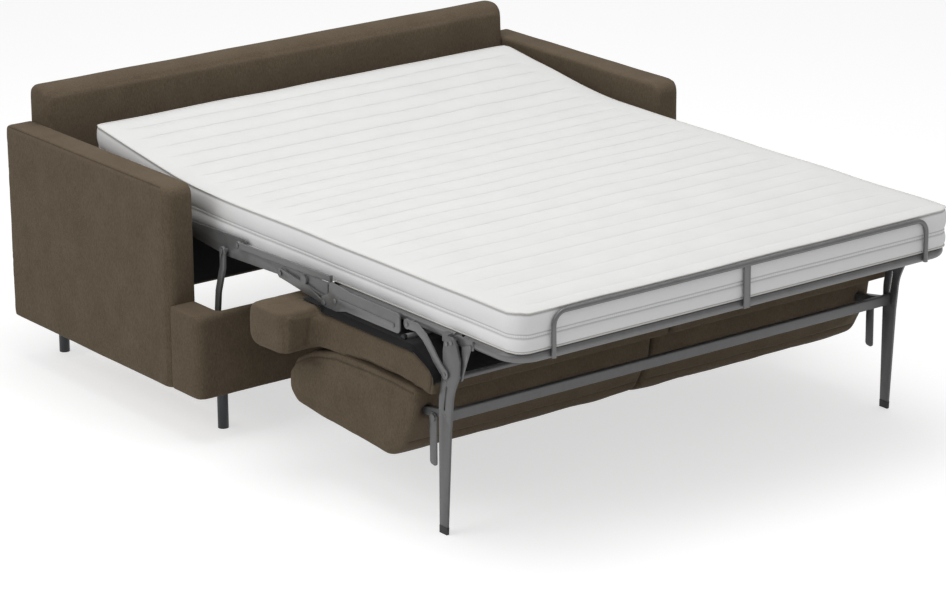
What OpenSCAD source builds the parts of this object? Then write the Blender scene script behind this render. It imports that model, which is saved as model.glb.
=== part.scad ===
// Sofa bed, unfolded. A two-seat sofa body holds a steel frame that turns over:
// the seat and back cushions hang upside down under the bed, and a thin mattress lies on top.
// X is the width, the front points to -Y, and the floor is z = 0.
// Depths are given as a distance from the rear of the sofa, heights from the floor.

/* [Sofa body] */
// Overall width
sofa_w = 1720; // [1600:10:1900]
// Thickness of one arm
arm_t = 80; // [60:2:110]
// Depth of the arms
arm_d = 795; // [760:5:830]
// Height of the arms' top
arm_top = 662; // [630:2:700]
// Height of the upholstery's underside
body_z = 126; // [100:2:140]
// Height of the back's top
back_top = 766; // [720:2:840]
// Thickness of the back at its top
back_t = 80; // [60:2:100]
// Thickness of the back at its foot
back_foot_t = 104; // [100:2:110]
// Depth of the front rail's blocks
block_d = 131; // [100:1:150]
// Thickness of the apron between the blocks
apron_t = 26; // [18:1:34]
// Height of the front rail's top
rail_top = 350; // [320:2:380]
// Rounding of the upholstered edges
soft_r = 16; // [8:1:24]
// Diameter of the round feet
foot_dia = 29; // [20:1:40]
// Width of a timber sill under the arms
sill_w = 80; // [60:2:90]
// Height of a timber sill
sill_h = 20; // [12:1:30]

/* [Mattress] */
// Clearance between the mattress and an arm
bed_side = 80; // [60:5:130]
// Thickness of the mattress
bed_t = 97; // [80:1:120]
// Height of the mattress's underside
bed_z = 515; // [505:1:530]
// Distance of the head end from the rear of the sofa
head_p = 205; // [180:5:230]
// Distance of the foot end from the rear of the sofa
foot_p = 2052; // [2000:4:2100]
// Place where the raised pillow part begins
bend_p = 670; // [650:5:690]
// Rise of the head end
head_rise = 60; // [30:2:80]
// Spacing of the quilted channels
channel_pitch = 57; // [40:1:80]
// Depth of the quilted channels
channel_deep = 4; // [2:0.5:6]

/* [Bed frame] */
// Diameter of the frame tubes
tube_d = 26; // [20:1:30]
// Diameter of the cross tubes
cross_d = 20; // [16:1:24]
// Distance of a side tube's centre from the arm
tube_side = 83; // [80:1:90]
// Bend radius of the tube corners
corner_r = 62; // [40:2:90]
// Width of a flat slat
slat_w = 38; // [25:1:50]
// Thickness of a flat slat
slat_t = 4; // [2:0.5:5]
// Thickness of the side steel plates
plate_t = 4; // [3:0.5:4]
// Thickness of links and struts
link_t = 8; // [6:0.5:8]
// Diameter of the pivot pins
pin_d = 10; // [8:0.5:12]
// Diameter of the mattress stop rail
stop_d = 12; // [8:1:16]
// Height of the mattress stop rail
stop_top = 612; // [590:2:630]
// Distance of the mattress stop rail's ends from the side tubes
stop_side = 97; // [60:1:190]
// Diameter of the tube between the legs
bar_d = 24; // [18:1:28]
// Diameter of the rod that holds the seat board
rod_d = 16; // [12:1:20]

/* [Legs] */
// Thickness of a stamped leg
leg_t = 6; // [5:1:8]
// Height of the plastic leg shoes
shoe_h = 20; // [16:1:40]

/* [Cushions] */
// Clearance between a cushion and an arm
seat_side = 32; // [24:2:50]
// Distance of the wide seat nose from the sofa's outer sides
nose_side = 2; // [2:2:20]
// Rear face of the nose, open bed
nose_in_p = 1310; // [1290:2:1330]
// Front face of the nose, open bed
nose_out_p = 1160; // [1140:2:1180]
// Lowest face of the nose, open bed
nose_low = 355; // [345:1:365]
// Far end of the seat, open bed
seat_end_p = 1774; // [1750:2:1776]
// Sitting face of the seat, open bed
seat_low = 372; // [368:1:380]
// Seat board's underside, open bed
board_z = 443; // [438:1:446]
// Thickness of the seat board
board_t = 12; // [8:1:15]
// Gap between the two halves of a cushion
split = 3; // [1:0.5:6]

/* [Hidden] */

fabric = "#584D3E";
steel = "#6E6E70";
dark_steel = "#4A4A4C";
black = "#141414";
white_cloth = "#E8E8E8";
timber = "#B08D5B";

// Clearance between parts that move past each other
gap = 0.3;
// Foot tube under the foot end, and the stop rail that stands against it
foot_tube_p = foot_p - 10;
stop_p = foot_tube_p + tube_d / 2 + stop_d / 2;
// Centre of the whole depth
mid_p = (stop_p + stop_d / 2) / 2;
tube_z = bed_z - tube_d / 2;
arm_in = sofa_w / 2 - arm_t;
rail_front = arm_d + block_d;
bed_w = 2 * (arm_in - bed_side);
tube_x = arm_in - tube_side;
stop_x = tube_x - stop_side;
seat_x = arm_in - seat_side;
back_x = seat_x;
nose_x = sofa_w / 2 - nose_side;
slope = atan(head_rise / (bend_p - head_p));
slope_l = (bend_p - head_p) / cos(slope);
bore_d = pin_d + 2 * gap;

// Layers across the gap between the mattress and the arm, from the inside out
rail_in = tube_x + tube_d / 2 + 2;
link_in = rail_in + plate_t + 10;
plate_in = link_in + link_t + 4;
leg_in = link_in - 2;
stay_in = leg_in + leg_t + 1;

// Pivots, as [distance from the rear, height]
strut_foot = [arm_d + 40, 185];
strut_top = strut_foot + [24, bed_z - 25 - strut_foot[1]];
rear_strut_p = 520;
strut_pitch = strut_top[0] - rear_strut_p;
strut_rise = 30;
rear_top = strut_top + [-strut_pitch, strut_rise];
rear_foot = strut_foot + [-strut_pitch, strut_rise];
fold_a = [1125, bed_z - 18];
fold_b = [1325, bed_z - 43];
control_a = [932, bed_z + 8];
control_b = [1337, bed_z + 19];
foot_pivot = [1835, tube_z];
back_pivot = [1805, 305];
pillow_d = 191;
pillow_w = 9;
pillow_pivot = [bend_p - pillow_d * cos(slope) - pillow_w * sin(slope),
    bed_z + pillow_d * sin(slope) - pillow_w * cos(slope)];

// The part at a distance p from the sofa's rear
function y_of(p) = mid_p - p;
// Rise of the mattress's underside at a distance p
function rise(p) = p < bend_p ? (bend_p - p) * tan(slope) : 0;

// Corner a, b, c rounded with radius r in n steps
function fillet(a, b, c, r, n) = let(
    u = (a - b) / norm(a - b),
    v = (c - b) / norm(c - b),
    half = acos(u * v) / 2,
    middle = b + (u + v) / norm(u + v) * r / sin(half),
    from = b + u * r / tan(half) - middle,
    to = b + v * r / tan(half) - middle,
    start = atan2(from[1], from[0]),
    turn = atan2(to[1], to[0]) - start,
    sweep = turn > 180 ? turn - 360 : turn < -180 ? turn + 360 : turn)
    [for (i = [0:n]) middle + r * [cos(start + sweep * i / n), sin(start + sweep * i / n)]];

// Corners given as [p, z, radius], as a rounded outline
function rounded(corners, n = 4) = let(count = len(corners))
    [for (k = [0:count - 1]) let(
        a = corners[(k + count - 1) % count],
        b = corners[k],
        c = corners[(k + 1) % count])
        each fillet([a[0], a[1]], [b[0], b[1]], [c[0], c[1]], b[2], n)];

// A strip of width w along a path
function strip(path, w) = let(
    last = len(path) - 1,
    along = [for (i = [0:last]) let(d = path[min(i + 1, last)] - path[max(i - 1, 0)]) d / norm(d)])
    concat([for (i = [0:last]) path[i] + w / 2 * [-along[i][1], along[i][0]]],
        [for (i = [last:-1:0]) path[i] - w / 2 * [-along[i][1], along[i][0]]]);

function low(points, k) = min([for (q = points) q[k]]);
function high(points, k) = max([for (q = points) q[k]]);
function centre(points) = [(low(points, 0) + high(points, 0)) / 2, (low(points, 1) + high(points, 1)) / 2];
// An outline drawn in by a distance on all sides
function drawn_in(points, d) = let(
    c = centre(points),
    half = [high(points, 0) - c[0], high(points, 1) - c[1]])
    [for (q = points) [c[0] + (q[0] - c[0]) * (1 - d / half[0]), c[1] + (q[1] - c[1]) * (1 - d / half[1])]];
// An outline in the side plane, placed at a width x
function ring(points, x) = [for (q = points) [x, y_of(q[0]), q[1]]];

// A closed body through a row of rings with equal numbers of points
module loft(rings) {
    n = len(rings[0]);
    last = len(rings) - 1;
    sides = [for (j = [0:last - 1]) for (i = [0:n - 1]) let(
        a = j * n + i,
        b = j * n + (i + 1) % n)
        each [[a, b, b + n], [a, b + n, a + n]]];
    polyhedron([for (r = rings) each r],
        concat(sides, [[for (i = [n - 1:-1:0]) i]], [[for (i = [0:n - 1]) last * n + i]]));
}

// A padded body between two widths, with rounded edges and a crown
module padded(points, x0, x1, edge, crown) {
    steps = 3;
    middles = [0.12, 0.5, 0.88];
    function inset(t) = edge * (1 - sqrt(1 - pow(1 - t, 2)));
    function sag(x) = crown * pow((2 * x - x0 - x1) / (x1 - x0), 2);
    low_end = [for (i = [0:steps - 1]) let(x = x0 + edge * i / steps)
        ring(drawn_in(points, inset(i / steps) + sag(x)), x)];
    body = [for (m = middles) let(x = x0 + edge + (x1 - x0 - 2 * edge) * m)
        ring(drawn_in(points, sag(x)), x)];
    high_end = [for (i = [steps - 1:-1:0]) let(x = x1 - edge * i / steps)
        ring(drawn_in(points, inset(i / steps) + sag(x)), x)];
    loft(concat(low_end, body, high_end));
}

// A side-plane drawing given thickness across the width
module side(x0, t) {
    translate([x0 + t, mid_p, 0]) rotate([90, 0, -90]) linear_extrude(t) children();
}
module both() {
    children();
    mirror([1, 0, 0]) children();
}
module at(q) {
    translate(q) children();
}
// A bar across the width at the place q
module rod(x0, x1, q, d) {
    translate([x0, y_of(q[0]), q[1]]) rotate([0, 90, 0]) cylinder(d = d, h = x1 - x0, $fn = 48);
}
// A bar along the depth
module bar(p0, p1, x, z, d) {
    translate([x, y_of(p1), z]) rotate([-90, 0, 0]) cylinder(d = d, h = p1 - p0, $fn = 48);
}
module disc(q, d) {
    at(q) circle(d = d, $fn = 48);
}
// A flat slat under the mattress at a distance p
module slat(p) {
    translate([0, y_of(p), bed_z + rise(p)]) rotate([p < bend_p ? slope : 0, 0, 0])
        translate([-tube_x + tube_d / 2 - 4, -slat_w / 2, -slat_t - 0.2])
        cube([2 * tube_x - tube_d + 8, slat_w, slat_t]);
}
// Local frame of the raised pillow part: +Y towards the head, z = 0 under the mattress
module on_slope() {
    translate([0, y_of(bend_p), bed_z]) rotate([slope, 0, 0]) children();
}

// Sofa body
arm_outline = rounded([[0, body_z, 10], [arm_d, body_z, 14], [arm_d, arm_top, 34], [0, arm_top, 26]]);
module arm(x0) {
    color(fabric) padded(arm_outline, x0, x0 + arm_t, soft_r, 0);
}
module left_arm() {
    arm(-sofa_w / 2);
}
module right_arm() {
    arm(arm_in);
}
back_outline = rounded([[0, body_z, 8], [back_foot_t, body_z, 8], [back_t, back_top, 22], [0, back_top, 20]]);
module sofa_back() {
    color(fabric) padded(back_outline, -arm_in, arm_in, soft_r, 0);
}
function back_face(z) = back_foot_t + (back_t - back_foot_t) * (z - body_z) / (back_top - body_z);
lining_t = 4;
module back_lining() {
    lining_low = body_z + 10;
    lining_high = bed_z + 45;
    glue = 0.05;
    color(black) side(-arm_in + 20, 2 * arm_in - 40) polygon([
        [back_face(lining_low) + glue, lining_low], [back_face(lining_low) + lining_t, lining_low],
        [back_face(lining_high) + lining_t, lining_high], [back_face(lining_high) + glue, lining_high]]);
}
module front_rail() {
    r = 14;
    block = rounded([[arm_d, body_z, r], [rail_front, body_z, r], [rail_front, rail_top, r + 4], [arm_d, rail_top, r]]);
    thin = apron_t / 2 - 1;
    apron = rounded([[rail_front - apron_t, body_z, thin], [rail_front, body_z, thin],
        [rail_front, rail_top, thin], [rail_front - apron_t, rail_top, thin]]);
    out = sofa_w / 2;
    color(fabric) loft([
        ring(drawn_in(block, soft_r), -out), ring(drawn_in(block, soft_r * 0.3), -out + soft_r * 0.4),
        ring(block, -out + soft_r), ring(block, -arm_in - 6), ring(drawn_in(block, 4), -arm_in - 2),
        ring(apron, -arm_in), ring(apron, 0), ring(apron, arm_in),
        ring(drawn_in(block, 4), arm_in + 2), ring(block, arm_in + 6), ring(block, out - soft_r),
        ring(drawn_in(block, soft_r * 0.3), out - soft_r * 0.4), ring(drawn_in(block, soft_r), out)]);
}
module sills() {
    rear = back_foot_t + lining_t + 2;
    front = rail_front - apron_t - 4;
    color(timber) both() translate([arm_in - sill_w, y_of(front), body_z]) cube([sill_w, front - rear, sill_h]);
}
foot_places = [40, arm_d + 37];
foot_x = arm_in - 53;
foot_plate_t = 4;
module sofa_feet() {
    color(dark_steel) both() for (p = foot_places)
        translate([foot_x, y_of(p), 0]) cylinder(d = foot_dia, h = body_z - foot_plate_t, $fn = 48);
}
module foot_plates() {
    color(dark_steel) both() for (p = foot_places)
        translate([foot_x, y_of(p), body_z - foot_plate_t]) cylinder(d = foot_dia + 34, h = foot_plate_t, $fn = 48);
}

// Fixed side plates that carry the swing struts
plate_bolts = [[rear_foot[0] - 20, 180], [(rear_foot[0] + strut_foot[0]) / 2, 186], [strut_foot[0] - 60, 170]];
module side_plates() {
    color(steel) both() side(plate_in, plate_t) difference() {
        polygon(rounded([[rear_foot[0] - 42, 166, 10], [strut_foot[0] + 38, 154, 10],
            [strut_foot[0] + 30, strut_foot[1] + 26, 14], [rear_foot[0] + 10, rear_foot[1] + 26, 14],
            [rear_foot[0] - 42, rear_foot[1] + 14, 12]]));
        for (q = plate_bolts) disc(q, 8.4);
    }
    color(steel) both() for (q = [strut_foot, rear_foot]) rod(link_in - 1, plate_in + 0.5, q, pin_d);
}
module side_plate_bolts() {
    color(dark_steel) both() for (q = plate_bolts) {
        rod(plate_in + plate_t, arm_in, q, 16);
        rod(plate_in - 3, plate_in + plate_t, q, 8);
        rod(plate_in - 5, plate_in - 0.01, q, 13);
    }
}

// Swinging base section
module strut(path) {
    side(link_in, link_t) difference() {
        union() {
            polygon(strip(path, 20));
            disc(path[0], 25);
            disc(path[len(path) - 1], 25);
        }
        disc(path[0], bore_d);
        disc(path[len(path) - 1], bore_d);
    }
}
module front_struts() {
    kinks = [for (q = [[22, 261], [15, 240], [-1, 190], [-7, 140], [-5, 60]]) strut_foot + q];
    color(steel) both() strut(concat([strut_top], kinks, [strut_foot]));
}
module rear_struts() {
    color(steel) both() strut([rear_top, (rear_top + rear_foot) / 2 + [-6, 0], rear_foot]);
}
rail_tip = control_a[0] + 14;
ledge_p = 495;
ledge_t = 4;
ledge_z = bed_z - slat_t - 0.4;
module base_rails() {
    web = rounded([[pillow_pivot[0] - 14, pillow_pivot[1] - 16, 13], [bend_p, bed_z - 25, 40],
        [strut_top[0] - 6, strut_top[1] - 17, 20],
        [fold_a[0] + 13, fold_a[1] - 14, 12], [fold_a[0] + 13, fold_a[1] + 13, 12],
        [rail_tip, fold_a[1] + 10, 4], [rail_tip, control_a[1] + 14, 10], [bend_p, bed_z + 12, 40],
        [pillow_pivot[0] - 14, pillow_pivot[1] + 14, 13]]);
    color(steel) both() {
        side(rail_in, plate_t) polygon(web);
        // Ledge that carries the slats
        side(tube_x - 12, rail_in - tube_x + 12.5) polygon([[ledge_p, ledge_z - ledge_t + rise(ledge_p)],
            [bend_p, ledge_z - ledge_t], [fold_a[0] - 20, ledge_z - ledge_t], [fold_a[0] - 20, ledge_z],
            [bend_p, ledge_z], [ledge_p, ledge_z + rise(ledge_p)]]);
        rod(rail_in + plate_t - 0.5, link_in + link_t + 1, strut_top, pin_d);
        rod(rail_in + plate_t - 0.5, link_in + link_t + 1, rear_top, pin_d);
        rod(rail_in + plate_t - 0.5, link_in + link_t + 1, fold_a, pin_d);
        rod(rail_in + plate_t - 0.5, link_in + link_t + 1, control_a, pin_d);
        rod(rail_in + plate_t - 0.5, link_in + link_t - 1, pillow_pivot, pin_d);
    }
}
// No slat lies over the bend
slat_pitch = 66;
base_slat_places = [for (p = [bend_p - slat_w / 2 - 3 - 2 * slat_pitch:slat_pitch:fold_a[0] - 65]) p];
module base_slats() {
    color(steel) for (p = base_slat_places) slat(p);
}
module base_cross_tubes() {
    color(steel) for (p = [bend_p + 30, strut_top[0] + 24, fold_a[0] - 40])
        rod(-rail_in, rail_in, [p, ledge_z - ledge_t - cross_d / 2], cross_d);
}
rivet_d = 13;
module base_rivets() {
    color(dark_steel) both() for (q = [strut_top, rear_top, fold_a, control_a])
        rod(link_in + link_t + 1, link_in + link_t + 3, q, rivet_d);
}
module control_bars() {
    end_h = 27;
    color(steel) both() {
        side(link_in, link_t) difference() {
            union() {
                polygon(strip([control_a, control_b], 15));
                disc(control_a, 21);
            }
            disc(control_a, bore_d);
        }
        side(link_in - 1, link_t + 2) at(control_b + [2, -4]) square([5, end_h], center = true);
    }
}

// Pillow section
module pillow_frame() {
    from = pillow_d + 22;
    to = slope_l - tube_d / 2 - 4;
    r = corner_r;
    color(steel) on_slope() translate([0, 0, -tube_d / 2]) {
        both() {
            translate([tube_x, from, 0]) rotate([-90, 0, 0]) cylinder(d = tube_d, h = to - r - from, $fn = 48);
            translate([tube_x - r, to - r, 0]) rotate_extrude(angle = 90, $fn = 64)
                translate([r, 0]) circle(d = tube_d, $fn = 48);
        }
        translate([-tube_x + r, to, 0]) rotate([0, 90, 0]) cylinder(d = tube_d, h = 2 * (tube_x - r), $fn = 48);
    }
}
module pillow_slats() {
    color(steel) for (d = [pillow_d + 47:slat_pitch:slope_l - tube_d / 2 - 4 - corner_r - slat_w / 2]) on_slope()
        translate([-tube_x + tube_d / 2 + 0.3, d - slat_w / 2, -tube_d / 2 - slat_t / 2])
        cube([2 * tube_x - tube_d - 0.6, slat_w, slat_t]);
}
module pillow_brackets() {
    color(steel) both() difference() {
        union() {
            on_slope() translate([tube_x + tube_d / 2, pillow_d + 24, -tube_d])
                cube([link_in + 4 - tube_x - tube_d / 2, 40, tube_d]);
            side(link_in, 4) union() {
                disc(pillow_pivot, 24);
                polygon(strip([pillow_pivot, pillow_pivot + 45 * [-cos(slope), sin(slope)]], 20));
            }
        }
        rod(link_in - 2, link_in + 6, pillow_pivot, bore_d);
    }
}

// Fold links between the base and the seat section
cross_place = [(fold_a[0] + fold_b[0]) / 2, bed_z - cross_d / 2 - 1];
module fold_links() {
    // Inner plate that closes the side under the mattress
    color(steel) both() side(link_in - plate_t, plate_t) polygon(rounded([[fold_a[0] + 15, fold_a[1] - 5, 4],
        [fold_b[0] - 5, fold_b[1] + 2, 6], [fold_b[0] - 5, bed_z + 4, 3], [fold_a[0] + 15, bed_z + 2, 3]]));
    color(steel) both() side(link_in, link_t) difference() {
        union() {
            polygon(strip([fold_a, fold_b], 24));
            disc(fold_a, 26);
            disc(fold_b, 26);
            disc(cross_place, 26);
        }
        disc(fold_a, bore_d);
        disc(fold_b, bore_d);
    }
}
module fold_cross_tube() {
    color(steel) rod(plate_t - link_in, link_in - plate_t, cross_place, cross_d);
}

// Seat section
module hinge_plates() {
    far = 1640;
    color(steel) both() {
        side(plate_in - 2, plate_t) polygon(rounded([[fold_b[0] - 18, fold_b[1] - 14, 10],
            [fold_b[0] + 40, fold_b[1] - 14, 10], [fold_b[0] + 90, bed_z - 44, 60], [far, bed_z - 44, 12],
            [far, bed_z + 6, 14], [fold_b[0] + 110, bed_z + 8, 30], [fold_b[0] + 60, bed_z + 14, 12],
            [control_b[0] + 10, bed_z + 16, 8], [control_b[0] + 6, bed_z - 16, 10], [fold_b[0] - 14, fold_b[1] + 12, 12]]));
        side(plate_in - 2 + plate_t - 0.5, 3.5) polygon(rounded([[fold_b[0] + 60, bed_z - 30, 6],
            [far - 20, bed_z - 33, 6], [far - 20, bed_z - 21, 6], [fold_b[0] + 60, bed_z - 17, 6]]));
        rod(link_in - 1, plate_in - 1, fold_b, pin_d);
    }
}
spacer_places = [fold_b[0] + 125, 1600];
module hinge_spacers() {
    color(dark_steel) both() for (p = spacer_places) rod(tube_x + tube_d / 2, plate_in - 2, [p, tube_z], 18);
}
seat_cross_places = [1395, 1600, 1782];
module seat_frame() {
    color(steel) {
        both() {
            bar(fold_b[0] + 20, foot_pivot[0] - 20, tube_x, tube_z, tube_d);
            bar(fold_b[0] + 14, fold_b[0] + 98, tube_x, tube_z - 1.5, tube_d + 2.4);
        }
        for (p = seat_cross_places) rod(-tube_x, tube_x, [p, tube_z], cross_d);
    }
}
module seat_slats() {
    color(steel) for (p = [1464, 1532, 1660, 1722])
        translate([-tube_x + tube_d / 2 + 0.1, y_of(p) - slat_w / 2, tube_z - slat_t / 2])
        cube([2 * tube_x - tube_d - 0.2, slat_w, slat_t]);
}
bracket_x = tube_x - 217;
module seat_brackets() {
    foot = board_z + board_t;
    head = tube_z - cross_d / 2;
    color(dark_steel) both() for (p = [seat_cross_places[0], seat_cross_places[1]])
        side(bracket_x, 44) polygon([[p - 26, foot], [p + 26, foot], [p + 26, foot + 3], [p + 13, foot + 3],
            [p + 9, head], [p - 9, head], [p - 13, foot + 3], [p - 26, foot + 3]]);
}
board_from = nose_in_p + 12;
board_to = 1690;
module seat_board() {
    color(black) side(-seat_x + 8, 2 * seat_x - 16) polygon([[board_from, board_z], [board_to, board_z],
        [board_to, board_z + board_t], [board_from, board_z + board_t]]);
}
seat_rod_place = [1645, board_z + board_t + rod_d / 2];
module seat_rod() {
    color(steel) rod(-link_in, link_in, seat_rod_place, rod_d);
}
module rod_caps() {
    color(black) both() rod(link_in, link_in + 9, seat_rod_place, rod_d);
}

// The seat's side outline while the bed is open: nose first, then round the far end
seat_outline = rounded([[nose_out_p, nose_low, 30], [nose_in_p - 10, nose_low, 22],
    [nose_in_p + 70, seat_low - 15, 120], [nose_in_p + 190, seat_low - 3, 160], [seat_end_p - 120, seat_low - 2, 200],
    [seat_end_p - 4, seat_low - 18, 14],
    [seat_end_p, board_z - 36, 16], [seat_end_p - 78, board_z, 60], [nose_in_p + 8, board_z, 10],
    [nose_in_p - 8, board_z + board_t, 10], [nose_out_p, board_z + board_t, 24]], 3);
// The same ring of points drawn back to the nose alone
seat_far = [for (i = [0:len(seat_outline) - 1]) if (seat_outline[i][0] > nose_in_p) i];
nose_outline = [for (i = [0:len(seat_outline) - 1]) let(q = seat_outline[i])
    q[0] <= nose_in_p ? q : [nose_in_p, nose_low + 6
        + (board_z + board_t - nose_low - 12) * (i - seat_far[0]) / (len(seat_far) - 1)]];
module seat_half() {
    e = 12;
    color(fabric) loft([
        ring(drawn_in(seat_outline, e), split / 2), ring(drawn_in(seat_outline, e * 0.3), split / 2 + e * 0.4),
        ring(seat_outline, split / 2 + e * 1.5), ring(seat_outline, seat_x / 2), ring(seat_outline, seat_x - e),
        ring(drawn_in(seat_outline, e * 0.3), seat_x - e * 0.3), ring(nose_outline, seat_x + 3),
        ring(nose_outline, nose_x - 2 * e), ring(drawn_in(nose_outline, e * 0.5), nose_x - e * 0.7),
        ring(drawn_in(nose_outline, e * 1.6), nose_x)]);
}
module seat_cushion_right() {
    seat_half();
}
module seat_cushion_left() {
    mirror([1, 0, 0]) seat_half();
}

// Legs
leg_outline = rounded([[1779, shoe_h, 1], [1809.5, shoe_h, 1], [1826, 276, 200], [1836, 366, 120],
    [1858, 413, 30], [1865, 458, 24], [1852, 496, 16], [1838, bed_z - 4, 16], [1807, bed_z - 5, 14],
    [1799, 470, 40], [1799, 430, 60], [1781, 342, 120]], 3);
leg_slot = [[1803, 322], [1813, 381]];
leg_pins = [[1815, bed_z - 24], [1833, bed_z - 17]];
module legs() {
    color(dark_steel) both() difference() {
        side(leg_in, leg_t) difference() {
            polygon(leg_outline);
            polygon(strip(leg_slot, 6));
            for (q = leg_slot) disc(q, 6);
        }
        rod(leg_in - 2, leg_in + leg_t + 2, back_pivot, bore_d);
    }
    color(dark_steel) both() {
        // Block that carries the leg on the side tube
        translate([tube_x + tube_d / 2, y_of(foot_pivot[0] - 21), tube_z - 11])
            cube([leg_in - tube_x - tube_d / 2 + 0.5, 24, 22]);
        rod(tube_x + 8, leg_in + 0.5, foot_pivot, pin_d);
    }
}
// Bar between the two legs, which the small stays hold
cross_bar_d = 16;
cross_bar_place = [1848, 415];
module leg_cross_bar() {
    color(dark_steel) rod(-leg_in, leg_in, cross_bar_place, cross_bar_d);
}
module leg_shoes() {
    color(black) both() side(leg_in - 0.6, leg_t + 1.2) polygon([[1778.4, 0], [1808.6, 0], [1810, shoe_h],
        [1778.4, shoe_h]]);
}
stay_rear = [1662, tube_z];
stay_path = [stay_rear, [1700, bed_z - 12], [1732, bed_z - 28], [1757, bed_z - 52], [1776, bed_z - 73],
    [1796, bed_z - 90], [1811, 414]];
stay_front = stay_path[len(stay_path) - 1];
module leg_stays() {
    color(steel) both() {
        side(stay_in, plate_t) union() {
            polygon(strip(stay_path, 23));
            disc(stay_rear, 26);
            disc(stay_front, 25);
        }
        rod(tube_x + tube_d / 2, stay_in + 0.5, stay_rear, pin_d);
    }
}
// Tapered stays inside the legs, beside the foot section's brackets
small_stay_in = tube_x + tube_d / 2 + plate_t + 0.5;
module small_stays() {
    color(steel) both() side(small_stay_in, plate_t) difference() {
        union() {
            polygon(rounded([[cross_bar_place[0] - 11, cross_bar_place[1] + 2, 2],
                [cross_bar_place[0] + 10, cross_bar_place[1] - 4, 2], [1892, 494, 4], [1897, 507, 4],
                [1858, 492, 3], [1859, 468, 20]], 2));
            disc(cross_bar_place, 26);
        }
        disc(cross_bar_place, cross_bar_d + 2 * gap);
    }
}
module leg_rivets() {
    color("#9A9A9C") both() {
        for (q = leg_pins) rod(leg_in + leg_t, leg_in + leg_t + 2, q, rivet_d - 2);
        rod(stay_in + plate_t, stay_in + plate_t + 2, stay_front, rivet_d - 3);
        rod(leg_in + leg_t, stay_in, stay_front, rivet_d - 3);
        rod(stay_in + plate_t, stay_in + plate_t + 2, stay_rear, rivet_d);
        for (q = [fold_b, [fold_b[0] + 47, bed_z - 28]]) rod(plate_in - 2 + plate_t, plate_in + plate_t + 1, q, rivet_d);
    }
}

// Foot section
module foot_tube() {
    r = corner_r;
    color(steel) difference() {
        union() {
            both() {
                bar(foot_pivot[0] + 15, foot_tube_p - r, tube_x, tube_z, tube_d);
                translate([tube_x - r, y_of(foot_tube_p - r), tube_z]) rotate([0, 0, -90])
                    rotate_extrude(angle = 90, $fn = 64) translate([r, 0]) circle(d = tube_d, $fn = 48);
                side(tube_x + tube_d / 2 - 1, plate_t + 1) union() {
                    disc(foot_pivot, 24);
                    at(foot_pivot + [0, -12]) square([60, 24]);
                }
            }
            rod(-tube_x + r, tube_x - r, [foot_tube_p, tube_z], tube_d);
        }
        both() rod(tube_x + 5, leg_in, foot_pivot, bore_d);
    }
}
module foot_slats() {
    color(steel) for (p = [1893, 1966])
        translate([-tube_x + tube_d / 2 + 0.1, y_of(p) - slat_w / 2, tube_z - slat_t / 2])
        cube([2 * tube_x - tube_d - 0.2, slat_w, slat_t]);
}
module stop_rail() {
    r = 34;
    z = stop_top - stop_d / 2;
    foot = tube_z - 8;
    post_w = 20;
    color(steel) {
        both() {
            translate([stop_x, y_of(stop_p), foot]) cylinder(d = stop_d, h = z - r - foot, $fn = 32);
            translate([stop_x - r, y_of(stop_p), z - r]) rotate([90, 0, 0])
                rotate_extrude(angle = 90, $fn = 48) translate([r, 0]) circle(d = stop_d, $fn = 32);
        }
        rod(-stop_x + r, stop_x - r, [stop_p, z], stop_d);
        translate([-post_w / 2, y_of(stop_p) - 2, foot]) cube([post_w, 4, z - foot]);
    }
}

// Back unit, folded against the seat while the bed is open
arm_z = [[back_pivot[0], back_pivot[1]], [1700, 288], [1260, 246]];
// Width at which the hanging bars and their knobs pass inside the legs
knob_t = 4.5;
hang_in = leg_in - 0.5 - knob_t - plate_t;
bar_t = 16;
module back_frame() {
    color(dark_steel) {
        // Crossbar, a tube of flat section that its two pins carry
        side(-leg_in + 3, 2 * leg_in - 6) polygon(rounded([for (q = [[-1, -1], [1, -1], [1, 1], [-1, 1]])
            [back_pivot[0] + q[0] * bar_t / 2, back_pivot[1] + q[1] * (bar_d / 2 + 2), 4]]));
        both() {
            side(hang_in - 18, 18) polygon(strip(arm_z, bar_d - 4));
            rod(leg_in - 4, leg_in + leg_t, back_pivot, pin_d);
        }
    }
}
module hanging_bars() {
    color(dark_steel) both() {
        side(hang_in, plate_t) polygon(rounded([for (q = [[-77, -143], [-51, -147], [-51, -10], [-77, -10]])
            [back_pivot[0] + q[0], back_pivot[1] + q[1], 8]]));
        rod(hang_in + plate_t, hang_in + plate_t + knob_t, back_pivot + [-62, -22], 20);
    }
}
back_cushion_outline = rounded([[1168, 204, 24], [1200, 176, 34], [1361, 163, 300], [1488, 156, 300],
    [1590, 146, 40], [1644, 176, 50], [1700, 276, 60], [1711, 350, 14], [1400, 353, 300], [1288, 334, 60],
    [1204, 294, 40], [1170, 250, 30]], 3);
module back_half() {
    e = 22;
    color(fabric) loft([
        ring(drawn_in(back_cushion_outline, e), split / 2),
        ring(drawn_in(back_cushion_outline, e * 0.3), split / 2 + e * 0.4),
        ring(back_cushion_outline, split / 2 + e * 1.4),
        ring(back_cushion_outline, back_x / 2),
        ring(back_cushion_outline, back_x - e * 1.4),
        ring(drawn_in(back_cushion_outline, e * 0.3), back_x - e * 0.4),
        ring(drawn_in(back_cushion_outline, e * 0.9), back_x)]);
}
module back_cushion_right() {
    back_half();
}
module back_cushion_left() {
    mirror([1, 0, 0]) back_half();
}

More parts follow.
